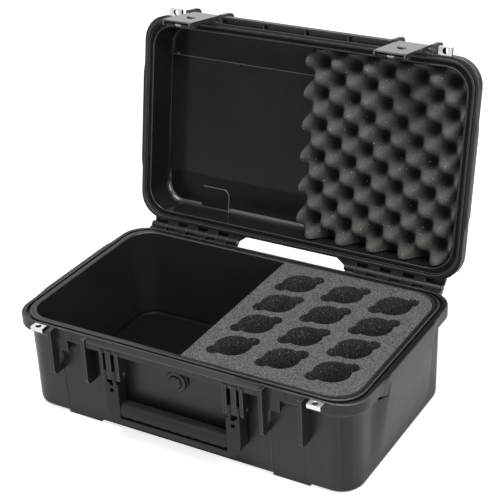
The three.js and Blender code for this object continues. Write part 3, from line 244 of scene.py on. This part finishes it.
core_plastic = moulded_plastic("core_plastic", (0.0108, 0.0108, 0.0101), 0.17, 0.26, **CORE_GRAIN)
# Painted light and shade: the tub's colour is painted lighter, the bay's and the step's carry
# painted shade, and the fillet's is a painted highlight.
tub_painted_lighter = moulded_plastic("tub_painted_lighter", (0.0175, 0.0175, 0.0168), 0.20, 0.26, **CORE_GRAIN)
bay_painted_shade = moulded_plastic("bay_painted_shade", (0.0055, 0.0055, 0.0052), 0.50, 0.07, **CORE_GRAIN)
step_painted_shade = moulded_plastic("step_painted_shade", (0.0060, 0.0060, 0.0056), 0.22, 0.17, **CORE_GRAIN)
# A pale colour that paints the highlight on the beads' crests.
bead_painted_highlight = moulded_plastic("bead_painted_highlight", (0.110, 0.110, 0.105), 0.16, 0.5, **CORE_GRAIN)
fillet_painted_highlight = moulded_plastic(
    "fillet_painted_highlight", (0.030, 0.030, 0.028), 0.15, 0.9, **CORNER_GRAIN
)
# A paler colour for worn edges: partly wear and partly a painted highlight.
rubbed_and_highlight_plastic = moulded_plastic(
    "rubbed_and_highlight_plastic", (0.060, 0.060, 0.057), 0.28, 0.6, **RUBBED_GRAIN
)
print("inner plastics: core, tub, bay, step, bead, fillet and rubbed")

# %% [markdown]
# ## Steel
# The padlock plates are stainless sheet with a brushed face, and the pins and springs are drawn
# steel. Brushing is a noise stretched along one direction, so it reads as fine lines, and it
# drives the shade, the roughness and a faint bump. The shader's own anisotropy could smear the
# highlight too, but a plate of two centimetres is too small in the picture to show it.

# %% Steel finishes
BRUSH_SCALE, BRUSH_DETAIL, BRUSH_ROUGHNESS = 60, 3, 0.6
BRUSH_SHADES = ((0.25, 0.88), (0.75, 1.08))
BRUSH_SPREAD = 0.14
BRUSH_STRENGTH, BRUSH_DEPTH = 0.2, 0.03 * MM
ALONG_THE_CASE = (4, 40, 40)
EVENLY = (40, 40, 40)


def brushed_steel(name, colour, roughness, stretch):
    material, tree, shader, place = new_material(name)
    shader.inputs["Metallic"].default_value = 1.0
    drawn = add_stretch(tree, place, stretch)
    lines = add_noise(tree, drawn, BRUSH_SCALE, BRUSH_DETAIL, BRUSH_ROUGHNESS)
    shade = add_shades(tree, lines, colour, BRUSH_SHADES)
    tree.links.new(shade, shader.inputs["Base Color"])
    gloss = add_range(tree, lines, roughness, roughness + BRUSH_SPREAD)
    tree.links.new(gloss, shader.inputs["Roughness"])
    scratches = add_bump(tree, lines, BRUSH_STRENGTH, BRUSH_DEPTH)
    tree.links.new(scratches, shader.inputs["Normal"])
    return material


plate_steel = brushed_steel("plate_steel", (0.80, 0.80, 0.78), 0.22, ALONG_THE_CASE)
pin_steel = brushed_steel("pin_steel", (0.62, 0.62, 0.60), 0.28, ALONG_THE_CASE)
spring_steel = brushed_steel("spring_steel", (0.62, 0.62, 0.60), 0.30, EVENLY)
print("steels: plate, pin and spring")

# %% [markdown]
# ## Rubber
# The grip and the gasket are soft black rubber. Rubber has no sharp highlight: it is rough, with
# a dusty sheen at its edges and a bloom of paler patches. Plain black with a high roughness
# would do for a small part, but the grip is near the camera, where flat black looks like a hole.

# %% Rubber finishes
BLOOM_SCALE, BLOOM_DETAIL, BLOOM_ROUGHNESS = 30, 4, 0.65
BLOOM_SHADES = ((0.35, 0.8), (0.75, 1.35))
BLOOM_SMOOTHER, BLOOM_ROUGHER = 0.05, 0.08
PORE_SCALE, PORE_STRENGTH, PORE_DEPTH = 1500, 0.3, 0.05 * MM
DUST = 0.04


def soft_rubber(name, colour, roughness, gloss_level):
    material, tree, shader, place = new_material(name)
    bloom = add_noise(tree, place, BLOOM_SCALE, BLOOM_DETAIL, BLOOM_ROUGHNESS)
    shade = add_shades(tree, bloom, colour, BLOOM_SHADES)
    tree.links.new(shade, shader.inputs["Base Color"])
    gloss = add_range(tree, bloom, roughness - BLOOM_SMOOTHER, roughness + BLOOM_ROUGHER)
    tree.links.new(gloss, shader.inputs["Roughness"])
    pores = add_bump(tree, add_noise(tree, place, PORE_SCALE), PORE_STRENGTH, PORE_DEPTH)
    tree.links.new(pores, shader.inputs["Normal"])
    shader.inputs["Sheen Weight"].default_value = DUST
    shader.inputs["Specular IOR Level"].default_value = gloss_level
    return material


grip_rubber = soft_rubber("grip_rubber", (0.0085, 0.0085, 0.008), 0.55, 0.24)
gasket_rubber = soft_rubber("gasket_rubber", (0.004, 0.004, 0.004), 0.70, 0.08)
print("rubbers: grip and gasket")

# %% [markdown]
# ## Foam
# Foam is a mass of small cells. Closed-cell foam looks speckled, because some cells are cut open
# and go dark while the skin between them stays pale. A cell pattern times a noise of nearly the
# same size, put through a steep ramp, gives the speckle, and the same values push the surface in
# where it is dark. Real holes in the mesh would be far too many. The slots were cut with a
# knife, so their walls show open cells, and their darker colour is partly those cells and partly
# painted shade for the deep slots. Egg-crate foam has cells half the size.

# %% Foam finish
CLOSED_CELLS, OPEN_CELLS = 420, 900
SPECKLE_SHARE, SPECKLE_DETAIL, SPECKLE_ROUGHNESS = 0.9, 4, 0.7
CUT_STOP, SKIN_STOP, WHOLE_STOP = 0.10, 0.22, 0.36
SKIN_SHADE = 0.7
CELL_STRENGTH = 0.7
FOAM_ROUGHNESS, FOAM_GLOSS = 0.95, 0.2


def cell_foam(name, dark, pale, cell, depth):
    material, tree, shader, place = new_material(name)
    cells = add_cells(tree, place, cell)["Distance"]
    speckle = add_noise(tree, place, cell * SPECKLE_SHARE, SPECKLE_DETAIL, SPECKLE_ROUGHNESS)
    blend = add_math(tree, "MULTIPLY", cells, speckle)
    stops = [(CUT_STOP, dark), (SKIN_STOP, shaded(pale, SKIN_SHADE)), (WHOLE_STOP, pale)]
    tree.links.new(add_ramp(tree, blend, stops), shader.inputs["Base Color"])
    shader.inputs["Roughness"].default_value = FOAM_ROUGHNESS
    shader.inputs["Specular IOR Level"].default_value = FOAM_GLOSS
    tree.links.new(add_bump(tree, blend, CELL_STRENGTH, depth), shader.inputs["Normal"])
    return material


slot_foam = cell_foam(
    "slot_foam", (0.025, 0.025, 0.026), (0.128, 0.131, 0.126), CLOSED_CELLS, 0.6 * MM
)
# Darker foam for cut walls: partly open cells and partly painted shade.
cut_and_shaded_foam = cell_foam(
    "cut_and_shaded_foam", (0.004, 0.004, 0.004), (0.060, 0.060, 0.058), CLOSED_CELLS, 0.9 * MM
)
crate_foam = cell_foam(
    "crate_foam", (0.040, 0.040, 0.036), (0.122, 0.124, 0.110), OPEN_CELLS, 0.4 * MM
)
print("foams: slot, cut and crate")

# %% [markdown]
# ## Painted shade in the valleys
# Little light gets down between the peaks of egg-crate foam. The mesh of the foam will carry an
# attribute named rise, 0 in the valleys and 1 on the peaks, and the material dims its colour by
# it, which paints that shade into the valleys. An attribute follows the peaks wherever they are,
# which a pattern in space could not.

# %% Dimming by an attribute
VALLEY_SHADE = 0.10


def paint_shade_by(material, attribute, floor):
    tree = material.node_tree
    shader = tree.nodes["Principled BSDF"]
    colour = shader.inputs["Base Color"].links[0].from_socket
    depth = tree.nodes.new("ShaderNodeAttribute")
    depth.attribute_name = attribute
    dim = tree.nodes.new("ShaderNodeVectorMath")
    dim.operation = "SCALE"
    tree.links.new(colour, dim.inputs[0])
    tree.links.new(add_range(tree, depth.outputs["Fac"], floor, 1.0), dim.inputs["Scale"])
    tree.links.new(dim.outputs["Vector"], shader.inputs["Base Color"])


paint_shade_by(crate_foam, "rise", VALLEY_SHADE)
print("valleys keep", VALLEY_SHADE, "of their colour")

# %% [markdown]
# ## Lint
# Foam catches pale specks of dust and lint. Cells of a wide pattern each have a random colour,
# so its red channel picks a share of the cells, and a short distance from the middle of a picked
# cell draws one small dot there. The dots are mixed over the colour that the foam has already.

# %% Lint on foam
LINT_SHARE_LEFT_OUT = 0.62
FACTOR, COLOUR_UNDER, COLOUR_OVER, COLOUR_OUT = 0, 6, 7, 2


def add_lint(material, colour, spread, radius):
    tree = material.node_tree
    shader = tree.nodes["Principled BSDF"]
    under = shader.inputs["Base Color"].links[0].from_socket
    place = next(node for node in tree.nodes if node.type == "TEX_COORD").outputs["Object"]
    dots = add_cells(tree, place, spread)
    near = add_math(tree, "LESS_THAN", dots["Distance"], radius)
    lot = tree.nodes.new("ShaderNodeSeparateColor")
    tree.links.new(dots["Color"], lot.inputs["Color"])
    chosen = add_math(tree, "GREATER_THAN", lot.outputs["Red"], LINT_SHARE_LEFT_OUT)
    mix = tree.nodes.new("ShaderNodeMix")
    mix.data_type = "RGBA"
    mix.inputs[COLOUR_OVER].default_value = (*colour, 1)
    tree.links.new(add_math(tree, "MULTIPLY", near, chosen), mix.inputs[FACTOR])
    tree.links.new(under, mix.inputs[COLOUR_UNDER])
    tree.links.new(mix.outputs[COLOUR_OUT], shader.inputs["Base Color"])


add_lint(crate_foam, (0.62, 0.62, 0.60), spread=150, radius=0.085)
add_lint(cut_and_shaded_foam, (0.45, 0.45, 0.44), spread=260, radius=0.16)
print("lint on the egg-crate foam and in the slots")

# %% [markdown]
# ## Welding a solid and finding its worn, highlighted edges
# A solid from the frame is made of loose flat triangles, so its round corners show facets. A
# copy is welded into one surface, and its coplanar triangles are dissolved into whole faces.
# Convex edges of a used case are rubbed, so each is marked with a bevel weight, which a Bevel
# modifier can read; the faces of those bevels get a paler colour that is partly wear and partly
# a painted highlight. An edge beside a face that is narrower than two bevels isn't marked,
# because it belongs to a round corner and has no room for one.

# %% Welding and worn edges
WELD = 0.01 * MM
FLAT = math.radians(0.6)
EDGE = 0.45 * MM
WORN_ANGLE = math.radians(35)
WORN_AND_HIGHLIGHT = "bevel_weight_edge"


def breadth(face):
    return face.calc_area() / max(edge.calc_length() for edge in face.edges)


def mark_worn_and_highlight(bm):
    worn_and_highlight = bm.edges.layers.float.new(WORN_AND_HIGHLIGHT)
    for edge in bm.edges:
        if edge.is_manifold and edge.is_convex and edge.calc_face_angle() > WORN_ANGLE:
            if all(breadth(face) > 2 * EDGE for face in edge.link_faces):
                edge[worn_and_highlight] = 1.0


def welded(node):
    bm = bmesh.new()
    bm.from_mesh(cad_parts[node].data)
    bmesh.ops.remove_doubles(bm, verts=bm.verts, dist=WELD)
    bmesh.ops.dissolve_limit(bm, angle_limit=FLAT, verts=bm.verts, edges=bm.edges)
    mark_worn_and_highlight(bm)
    return bm


def object_from(bm, name):
    mesh = bpy.data.meshes.new(name)
    bm.to_mesh(mesh)
    bm.free()
    piece = bpy.data.objects.new(name, mesh)
    scene.collection.objects.link(piece)
    return piece

# %% [markdown]
# ## Dressing a moulding
# Edges are shaded soft up to an angle, and a fine Bevel gives the sharp ones the small radius
# that catches light on a real moulding. Its clamp is off, because it would shrink every bevel of
# a piece to what the tightest spot allows, which is next to nothing here. Bevels could be cut
# into the mesh instead, but a modifier can be changed later. The Weighted Normal modifier lets
# the large flat faces keep their own direction, so that only the strips of a round corner bend
# the light.

# %% Dressing helpers
CREASE = math.radians(32)
BEVEL_ANGLE = math.radians(35)
BEVEL_SEGMENTS = 2


def soften(mesh, crease=CREASE):
    mesh.shade_smooth()
    mesh.set_sharp_from_angle(angle=crease)


def add_bevel(piece, width, angle=BEVEL_ANGLE):
    bevel = piece.modifiers.new("edge", "BEVEL")
    bevel.width = width
    bevel.segments = BEVEL_SEGMENTS
    bevel.limit_method = "ANGLE"
    bevel.angle_limit = angle
    bevel.use_clamp_overlap = False


def finished(piece, body, material, nodes):
    piece.data.materials.clear()
    piece.data.materials.append(material)
    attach(piece, body)
    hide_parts(*nodes)


def dressed(node, name, body, material, edge=0, crease=CREASE):
    piece = object_from(welded(node), name)
    soften(piece.data, crease)
    if edge:
        add_bevel(piece, edge)
    weighted = piece.modifiers.new("facing", "WEIGHTED_NORMAL")
    weighted.keep_sharp = True
    finished(piece, body, material, [node])
    print(name, "has", len(piece.data.polygons), "faces")
    return piece

# %% [markdown]
# ## Shells
# The base and the lid are one moulding each, with their ribs, brackets and hinge knuckles. The
# lid stands open, which makes places inside it awkward to name, so they are given as if it were
# closed. One matrix turns them open about the hinge, and its inverse turns the lid's own faces
# shut again to ask where they are.

# %% Shells
HINGE = Vector((0, 177.2 * MM, 158.4 * MM))
OPEN_ANGLE = math.radians(-100)
opened = (
    Matrix.Translation(HINGE)
    @ Matrix.Rotation(OPEN_ANGLE, 4, "X")
    @ Matrix.Translation(-HINGE)
)
closed = opened.inverted()

base_moulding = dressed("base_shell", "base_moulding", "base", shell_plastic, EDGE)
lid_moulding = dressed("lid_shell", "lid_moulding", "lid", shell_plastic, EDGE)
print("the lid is turned", round(math.degrees(-OPEN_ANGLE)), "degrees open")

# %% [markdown]
# ## Faces off the core
# A face came off the mould's core where a probe, a little in front of it, lies inside the
# cavity. Such faces take the core's finish through their material index, whose colour carries
# painted light and shade. Edges between two of them lose their worn mark, and with it their bevel
# and its paler colour, which is partly a painted highlight. The faces could be picked by hand
# in the editor, but the probe still finds them when the frame is built again.

# %% Core finish
CAVITY_HALF_LENGTH, CAVITY_HALF_WIDTH = 264.5 * MM, 151.2 * MM
CAVITY_LOW, RIM_HEIGHT, CAVITY_HIGH = 7.8 * MM, 157.8 * MM, 209.8 * MM
BASE_LIP, LID_LIP = 6 * MM, 3 * MM
PROBE = 2.5 * MM


def add_finishes(piece, *finishes):
    first = len(piece.data.materials)
    for finish in finishes:
        piece.data.materials.append(finish)
    return range(first, first + len(finishes))


def give_core(piece, finish, place, low, high):
    worn_and_highlight = piece.data.attributes[WORN_AND_HIGHLIGHT].data
    touched = {}
    count = 0
    for face in piece.data.polygons:
        spot = place @ (face.center + face.normal * PROBE)
        inside = abs(spot.x) < CAVITY_HALF_LENGTH and abs(spot.y) < CAVITY_HALF_WIDTH
        if inside and low < spot.z < high:
            face.material_index = finish
            count += 1
            for corner in face.loop_indices:
                edge = piece.data.loops[corner].edge_index
                touched[edge] = touched.get(edge, 0) + 1
    for edge, faces in touched.items():
        if faces == 2:
            worn_and_highlight[edge].value = 0.0
    return count


TUB_LIGHTER, BAY_SHADE, BASE_RUBBED_AND_HIGHLIGHT = add_finishes(base_moulding, tub_painted_lighter, bay_painted_shade, rubbed_and_highlight_plastic)
CORE, CORNER_HIGHLIGHT, LID_RUBBED_AND_HIGHLIGHT, STEP_SHADE = add_finishes(
    lid_moulding, core_plastic, fillet_painted_highlight, rubbed_and_highlight_plastic, step_painted_shade
)
base_count = give_core(base_moulding, TUB_LIGHTER, Matrix(), CAVITY_LOW, RIM_HEIGHT - BASE_LIP)
lid_count = give_core(lid_moulding, CORE, closed, RIM_HEIGHT + LID_LIP, CAVITY_HIGH)
print("faces off the core:", base_count, "in the base and", lid_count, "in the lid")

# %% [markdown]
# ## Painted shade on the floor and step, painted highlight in the corner
# Three regions of the inside stand out. The floor of the bay and the foot of its walls are the
# darkest part of the case, so their colour carries painted shade. Beside the hinges, the round
# corner under the lid's ceiling catches the light, so its colour is a painted highlight, and the
# lower step of the ceiling doesn't, so its colour carries painted shade. Which way a face looks
# and how far back it lies are enough to pick each of them out of the core's faces.

# %% Inner regions
BAY_FLOOR_ZONE = 32 * MM
FACING_UP = 0.1
FILLET_SIDE = 118 * MM
STEP_SIDE = 97 * MM
FACING_AWAY, FACING_DOWN = 0.25, 0.97

bay_count = corner_count = step_count = 0
for face in base_moulding.data.polygons:
    low = face.center.z < BAY_FLOOR_ZONE and face.normal.z > FACING_UP
    if face.material_index == TUB_LIGHTER and low:
        face.material_index = BAY_SHADE
        bay_count += 1
for face in lid_moulding.data.polygons:
    spot = closed @ face.center
    down = -(closed.to_3x3() @ face.normal).z
    if face.material_index != CORE:
        continue
    if FACING_AWAY < down < FACING_DOWN and spot.y > FILLET_SIDE:
        face.material_index = CORNER_HIGHLIGHT
        corner_count += 1
    elif down > FACING_DOWN and spot.y > STEP_SIDE:
        face.material_index = STEP_SHADE
        step_count += 1
print("bay floor:", bay_count, "corner:", corner_count, "step:", step_count, "faces")

# %% [markdown]
# ## Rubbed edges with a painted highlight
# The worn edges of the shells are a little paler than the rest, as handling polishes the grain
# off them, and the paler colour also paints the thin highlight that their rounding catches. The
# Bevel modifier can do this by itself: it reads the marks on the edges as weights, and gives the
# faces that it makes a material of their own.

# %% Rubbed edges
for moulding, rubbed_and_highlight in ((base_moulding, BASE_RUBBED_AND_HIGHLIGHT), (lid_moulding, LID_RUBBED_AND_HIGHLIGHT)):
    edge_bevel = moulding.modifiers["edge"]
    edge_bevel.limit_method = "WEIGHT"
    edge_bevel.material = rubbed_and_highlight
    marks = moulding.data.attributes[WORN_AND_HIGHLIGHT].data
    print(moulding.name, "has", sum(mark.value > 0 for mark in marks), "worn edges")

# %% [markdown]
# ## Lines in the lid's ceiling
# Inside the lid, a thin line runs the whole length of the bare half where the ceiling's two
# levels meet, with a small round boss at its left end, and another line goes round the raised
# pad beside the left hinge. A mould leaves such beads where its own parts meet, and their pale
# colour is a painted highlight. Each stands less than a millimetre proud, so it is a thin curve
# half sunk into the ceiling. A drawn line in the material could not catch the light as a real
# bead does. The curves are laid out as if the lid were closed, and are turned open with it.

# %% Ceiling lines
BEAD_RADIUS, BEAD_ROUNDNESS = 0.9 * MM, 3
LINE_LEFT, LINE_RIGHT = -261 * MM, 3 * MM
LINE_PLACE, LINE_TOP = -97.2 * MM, 209.5 * MM
PAD_LEFT, PAD_RIGHT = -192 * MM, -143.6 * MM
PAD_FRONT, PAD_BACK = 112.6 * MM, 147 * MM
PAD_ROUND, PAD_TOP = 10.5 * MM, 208.1 * MM
PAD_STEPS = 8


def add_line(curve, places):
    line = curve.splines.new("POLY")
    line.points.add(len(places) - 1)
    for point, place in zip(line.points, places):
        point.co = (*(opened @ Vector(place)), 1)


def pad_outline():
    places = [(PAD_LEFT, PAD_FRONT, PAD_TOP)]
    centre_x, centre_y = PAD_RIGHT - PAD_ROUND, PAD_FRONT + PAD_ROUND
    for step in range(PAD_STEPS + 1):
        turn = math.radians(90 * step / PAD_STEPS)
        x = centre_x + PAD_ROUND * math.sin(turn)
        y = centre_y - PAD_ROUND * math.cos(turn)
        places.append((x, y, PAD_TOP))
    places.append((PAD_RIGHT, PAD_BACK, PAD_TOP))
    return places


beads = bpy.data.curves.new("ceiling_beads", "CURVE")
beads.dimensions = "3D"
beads.bevel_depth = BEAD_RADIUS
beads.bevel_resolution = BEAD_ROUNDNESS
beads.use_fill_caps = True
add_line(beads, [(LINE_LEFT, LINE_PLACE, LINE_TOP), (LINE_RIGHT, LINE_PLACE, LINE_TOP)])
add_line(beads, pad_outline())
bead_piece = bpy.data.objects.new("ceiling_beads", beads)
scene.collection.objects.link(bead_piece)
print("ceiling lines:", len(beads.splines))

# %% [markdown]
# ## Flat pads and the boss
# The tops of the two pads beside the hinges are flat, and smooth shading would bend their light
# towards their round rims, so those faces are shaded flat. The small boss at the end of the line
# is a low cone with a rounded edge, sunk into the ceiling like the beads.

# %% Pads and boss
PAD_NEAR = 0.3 * MM
BOSS_PLACE = Vector((-250 * MM, -99.6 * MM, 209.1 * MM))
BOSS_TOP, BOSS_FOOT, BOSS_HEIGHT = 1.2 * MM, 2.0 * MM, 1.8 * MM
BOSS_EDGE, BOSS_SIDES = 0.3 * MM, 24

for face in lid_moulding.data.polygons:
    spot = closed @ face.center
    beside = -PAD_RIGHT < abs(spot.x) < -PAD_LEFT
    if beside and spot.y > PAD_FRONT and abs(spot.z - PAD_TOP) < PAD_NEAR:
        face.use_smooth = False

bm = bmesh.new()
bmesh.ops.create_cone(
    bm, cap_ends=True, segments=BOSS_SIDES,
    radius1=BOSS_TOP, radius2=BOSS_FOOT, depth=BOSS_HEIGHT,
    matrix=opened @ Matrix.Translation(BOSS_PLACE),
)
boss = object_from(bm, "ceiling_boss")
soften(boss.data)
add_bevel(boss, BOSS_EDGE)
# The beads and the boss take the pale colour, a painted highlight.
for piece in (bead_piece, boss):
    piece.data.materials.append(bead_painted_highlight)
    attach(piece, "lid")
print("boss faces:", len(boss.data.polygons))

# %% [markdown]
# ## Valve and handle
# The pressure valve is a round plastic body with a cap, and the handle is a stiff plastic bail.
# Their forms are all in the frame, so they are dressed like the shells, with a finer bevel on
# the valve because it is small.

# %% Valve and handle frame
VALVE_EDGE, CAP_EDGE = 0.4 * MM, 0.3 * MM

dressed("pressure_valve_body", "valve_ring", "base", valve_plastic, VALVE_EDGE)
dressed("pressure_valve_cap", "valve_disc", "base", valve_plastic, CAP_EDGE)
dressed("handle_frame", "handle_bail", "handle", handle_plastic, EDGE)

# %% [markdown]
# ## Latches, plates, pins and springs
# Each side of the case has a latch, made of a lever, a hooked trigger, their pins and a spring,
# and two folded steel plates for a padlock. The two sides are alike, so one loop dresses both.
# The springs are wound wire with coarse facets, so they are shaded soft over a wide angle, which
# is given in radians.

# %% Latches, plates, pins and springs
SIDES = ("left", "right")
LEVER_EDGE, PLATE_EDGE = 0.3 * MM, 0.25 * MM
WIRE_CREASE = 1.3

for side in SIDES:
    lever, trigger = f"latch_{side}", f"trigger_{side}"
    dressed(
        f"latch_lever_{side}", f"lever_{side}", lever, latch_plastic, LEVER_EDGE
    )
    dressed(f"latch_trigger_{side}", f"hook_{side}", trigger, trigger_plastic)
    dressed(f"trigger_pin_{side}", f"hook_pin_{side}", lever, pin_steel)
    dressed(
        f"trigger_spring_{side}", f"hook_spring_{side}", lever, spring_steel,
        crease=WIRE_CREASE,
    )
    dressed(f"latch_pin_{side}", f"lever_pin_{side}", "lid", pin_steel)
    dressed(f"handle_pin_{side}", f"bail_pin_{side}", "base", pin_steel)
    dressed(f"hinge_pin_{side}", f"hinge_rod_{side}", "base", pin_steel)
    for body in ("base", "lid"):
        plate = f"padlock_plate_{body}_{side}"
        dressed(plate, f"{body}_plate_{side}", body, plate_steel, PLATE_EDGE)

# %% [markdown]
# ## Grip and gasket
# The grip is rubber moulded over the lower bar of the handle, with soft lumps for the fingers.
# The frame gives its lumps, and shading it soft is enough, because rubber has no crisp edges.
# The gasket is a rubber ring pressed into the groove of the lid.

# %% Grip and gasket
GRIP_CREASE = math.radians(60)

dressed(
    "handle_grip", "finger_grip", "handle", grip_rubber, crease=GRIP_CREASE
)
dressed("lid_gasket", "rim_gasket", "lid", gasket_rubber)

# %% [markdown]
# ## Slotted foam
# The block was cut from a sheet of closed-cell foam, so its top is flat and the edges of its
# slots are a little torn and round. The welded copy keeps the slots, and a Bevel modifier
# rounds every edge. The walls of the slots take the darker cut foam, whose colour is partly open
# cells and partly painted shade, and they are the upright faces that look at a point inside the
# block's own box.

# %% Slotted foam and its pad
BLOCK_EDGE, FLOOR_EDGE = 1.1 * MM, 1.5 * MM
FOAM_ANGLE = math.radians(50)
UPRIGHT = 0.5

block = object_from(welded("foam_slot_block"), "slotted_foam")
soften(block.data)
add_bevel(block, BLOCK_EDGE, FOAM_ANGLE)
finished(block, "base", slot_foam, ["foam_slot_block"])
CUT_AND_SHADED = add_finishes(block, cut_and_shaded_foam)[0]
block_low, block_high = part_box("foam_slot_block")
for face in block.data.polygons:
    spot = face.center + face.normal * PROBE
    within = block_low[0] < spot.x < block_high[0] and block_low[1] < spot.y < block_high[1]
    if within and abs(face.normal.z) < UPRIGHT:
        face.material_index = CUT_AND_SHADED

# The pad takes the same darker foam, partly open cells and partly painted shade.
pad = object_from(welded("foam_base_pad"), "floor_foam")
soften(pad.data)
add_bevel(pad, FLOOR_EDGE, FOAM_ANGLE)
finished(pad, "base", cut_and_shaded_foam, ["foam_base_pad"])
print("slotted foam:", len(block.data.polygons), "faces, its pad:", len(pad.data.polygons))

# %% [markdown]
# ## Egg-crate foam: its form
# Egg-crate foam is cut by pressing a sheet between rollers with knobs, which leaves round peaks
# and round valleys in a chequered field. Modelling one knob and copying it would leave seams,
# so two cosine waves, one along the sheet and one across it, give the rise of each point. A soft
# step makes the peaks and the valleys a little fuller. The outer corners of the sheet are round,
# to fit the lid.

# %% Rise and corners of the egg-crate foam
CRATE_LEFT, CRATE_RIGHT, CRATE_HALF = 4 * MM, 260.7 * MM, 147.4 * MM
CRATE_CORNER = 31 * MM
WAVE_X, WAVE_Y = 26.3 * MM, 24.6 * MM
PHASE_X, PHASE_Y = 26 * MM, 20.5 * MM
FULLNESS = 1.0


def crate_rise(x, y):
    wave = math.cos(math.pi * (x - PHASE_X) / WAVE_X) * math.cos(math.pi * (y - PHASE_Y) / WAVE_Y)
    return (1 - math.tanh(FULLNESS * wave) / math.tanh(FULLNESS)) / 2


def round_corners(vertex):
    centre_x = CRATE_RIGHT - CRATE_CORNER
    centre_y = math.copysign(CRATE_HALF - CRATE_CORNER, vertex.co.y)
    across = vertex.co.x - centre_x
    along = vertex.co.y - centre_y
    if across > 0 and along * centre_y > 0:
        reach = math.hypot(across, along)
        if reach > CRATE_CORNER:
            vertex.co.x = centre_x + across * CRATE_CORNER / reach
            vertex.co.y = centre_y + along * CRATE_CORNER / reach

# %% [markdown]
# ## Egg-crate foam: its mesh
# A fine grid is drawn in the lid as if it were closed and takes its height from the rise, which
# it keeps as an attribute for the dark valleys. Its rim is extruded back to the lid's ceiling
# and closed there, and the whole is then turned open about the hinge with the lid.

# %% Egg-crate foam
CRATE_STEPS_X, CRATE_STEPS_Y = 80, 92
CRATE_BACK = 209.5 * MM
VALLEY, HEIGHT = 38 * MM, 34 * MM
CRATE_CREASE = math.radians(50)

bm = bmesh.new()
rise_layer = bm.verts.layers.float.new("rise")
bmesh.ops.create_grid(bm, x_segments=CRATE_STEPS_X, y_segments=CRATE_STEPS_Y, size=1)
for vertex in bm.verts:
    vertex.co.x = CRATE_LEFT + (CRATE_RIGHT - CRATE_LEFT) * (vertex.co.x + 1) / 2
    vertex.co.y = CRATE_HALF * vertex.co.y
    round_corners(vertex)
    vertex[rise_layer] = crate_rise(vertex.co.x, vertex.co.y)
    vertex.co.z = RIM_HEIGHT + VALLEY - HEIGHT * vertex[rise_layer]
rim = [edge for edge in bm.edges if edge.is_boundary]
walls = bmesh.ops.extrude_edge_only(bm, edges=rim)["geom"]
for vertex in (item for item in walls if isinstance(item, bmesh.types.BMVert)):
    vertex.co.z = CRATE_BACK
bmesh.ops.holes_fill(bm, edges=[edge for edge in bm.edges if edge.is_boundary])
bmesh.ops.recalc_face_normals(bm, faces=bm.faces)
bmesh.ops.transform(bm, matrix=opened, verts=bm.verts)
crate = object_from(bm, "egg_crate")
soften(crate.data, CRATE_CREASE)
finished(crate, "lid", crate_foam, ["lid_egg_crate_foam"])
print("egg-crate faces:", len(crate.data.polygons))

# %% [markdown]
# ## Floor
# The photograph is a studio cut-out on white. The floor is a plain white sheet that keeps the
# case's soft shadow. It glows for the camera alone, so it comes out white in the picture and
# throws no extra light on the case.

# %% Floor
FLOOR_SIZE = 12
FLOOR_WHITE = (0.92, 0.92, 0.92, 1)
FLOOR_ROUGHNESS = 0.9
FLOOR_GLOW = 0.72

bm = bmesh.new()
bmesh.ops.create_grid(bm, x_segments=1, y_segments=1, size=FLOOR_SIZE)
floor = object_from(bm, "floor")
material, tree, shader, place = new_material("floor_white")
shader.inputs["Base Color"].default_value = FLOOR_WHITE
shader.inputs["Roughness"].default_value = FLOOR_ROUGHNESS
shader.inputs["Emission Color"].default_value = (1, 1, 1, 1)
seen = tree.nodes.new("ShaderNodeLightPath").outputs["Is Camera Ray"]
glow = add_math(tree, "MULTIPLY", seen, FLOOR_GLOW)
tree.links.new(glow, shader.inputs["Emission Strength"])
floor.data.materials.append(material)
print("floor:", floor.name)

# %% [markdown]
# ## World
# The world is white to the camera and to gloss, and much dimmer to everything else. So the
# backdrop is white and the plastic has something pale to mirror, but the case is lit by the
# lamps and not by the sky, which would make black plastic look grey. A picture of a real studio
# could light it too, but a plain world needs no file.

# %% World
WORLD_DIM, WORLD_FULL = 0.22, 1.0

world = bpy.data.worlds.new("studio")
scene.world = world
world.use_nodes = True
sky = world.node_tree
background = sky.nodes["Background"]
background.inputs["Color"].default_value = (1, 1, 1, 1)
rays = sky.nodes.new("ShaderNodeLightPath").outputs
shown = add_math(sky, "MAXIMUM", rays["Is Camera Ray"], rays["Is Glossy Ray"])
through = add_math(sky, "MAXIMUM", shown, rays["Is Transmission Ray"])
strength = add_range(sky, through, WORLD_DIM, WORLD_FULL)
sky.links.new(strength, background.inputs["Strength"])
print("world:", WORLD_DIM, "to", WORLD_FULL)

# %% [markdown]
# ## Lamps
# A product is lit in a studio by soft boxes, which are large glowing rectangles. The strongest
# hangs above, a second stands to the right, where the case's end wall is bright, and a weak one
# fills the front. All of them aim at the middle of the open case.

# %% Lamps
LAMP_AIM = Vector((0, 0.05, 0.2))


def soft_box(name, place, size, power):
    data = bpy.data.lights.new(name, "AREA")
    data.shape = "RECTANGLE"
    data.size, data.size_y = size
    data.energy = power
    lamp = bpy.data.objects.new(name, data)
    lamp.location = place
    lamp.rotation_mode = "QUATERNION"
    lamp.rotation_quaternion = (LAMP_AIM - Vector(place)).to_track_quat("-Z", "Y")
    scene.collection.objects.link(lamp)
    print("lamp:", name, power, "W")


soft_box("key", (1.9, -0.9, 1.2), (1.2, 1.2), 22)
soft_box("top", (0.15, -0.5, 2.3), (1.2, 0.7), 46)
soft_box("front", (-0.7, -2.2, 1.1), (1.6, 1.0), 4)

# %% [markdown]
# ## Output
# The Standard view transform shows the colours as they are, which suits a product on white.

scene.view_settings.view_transform = "Standard"
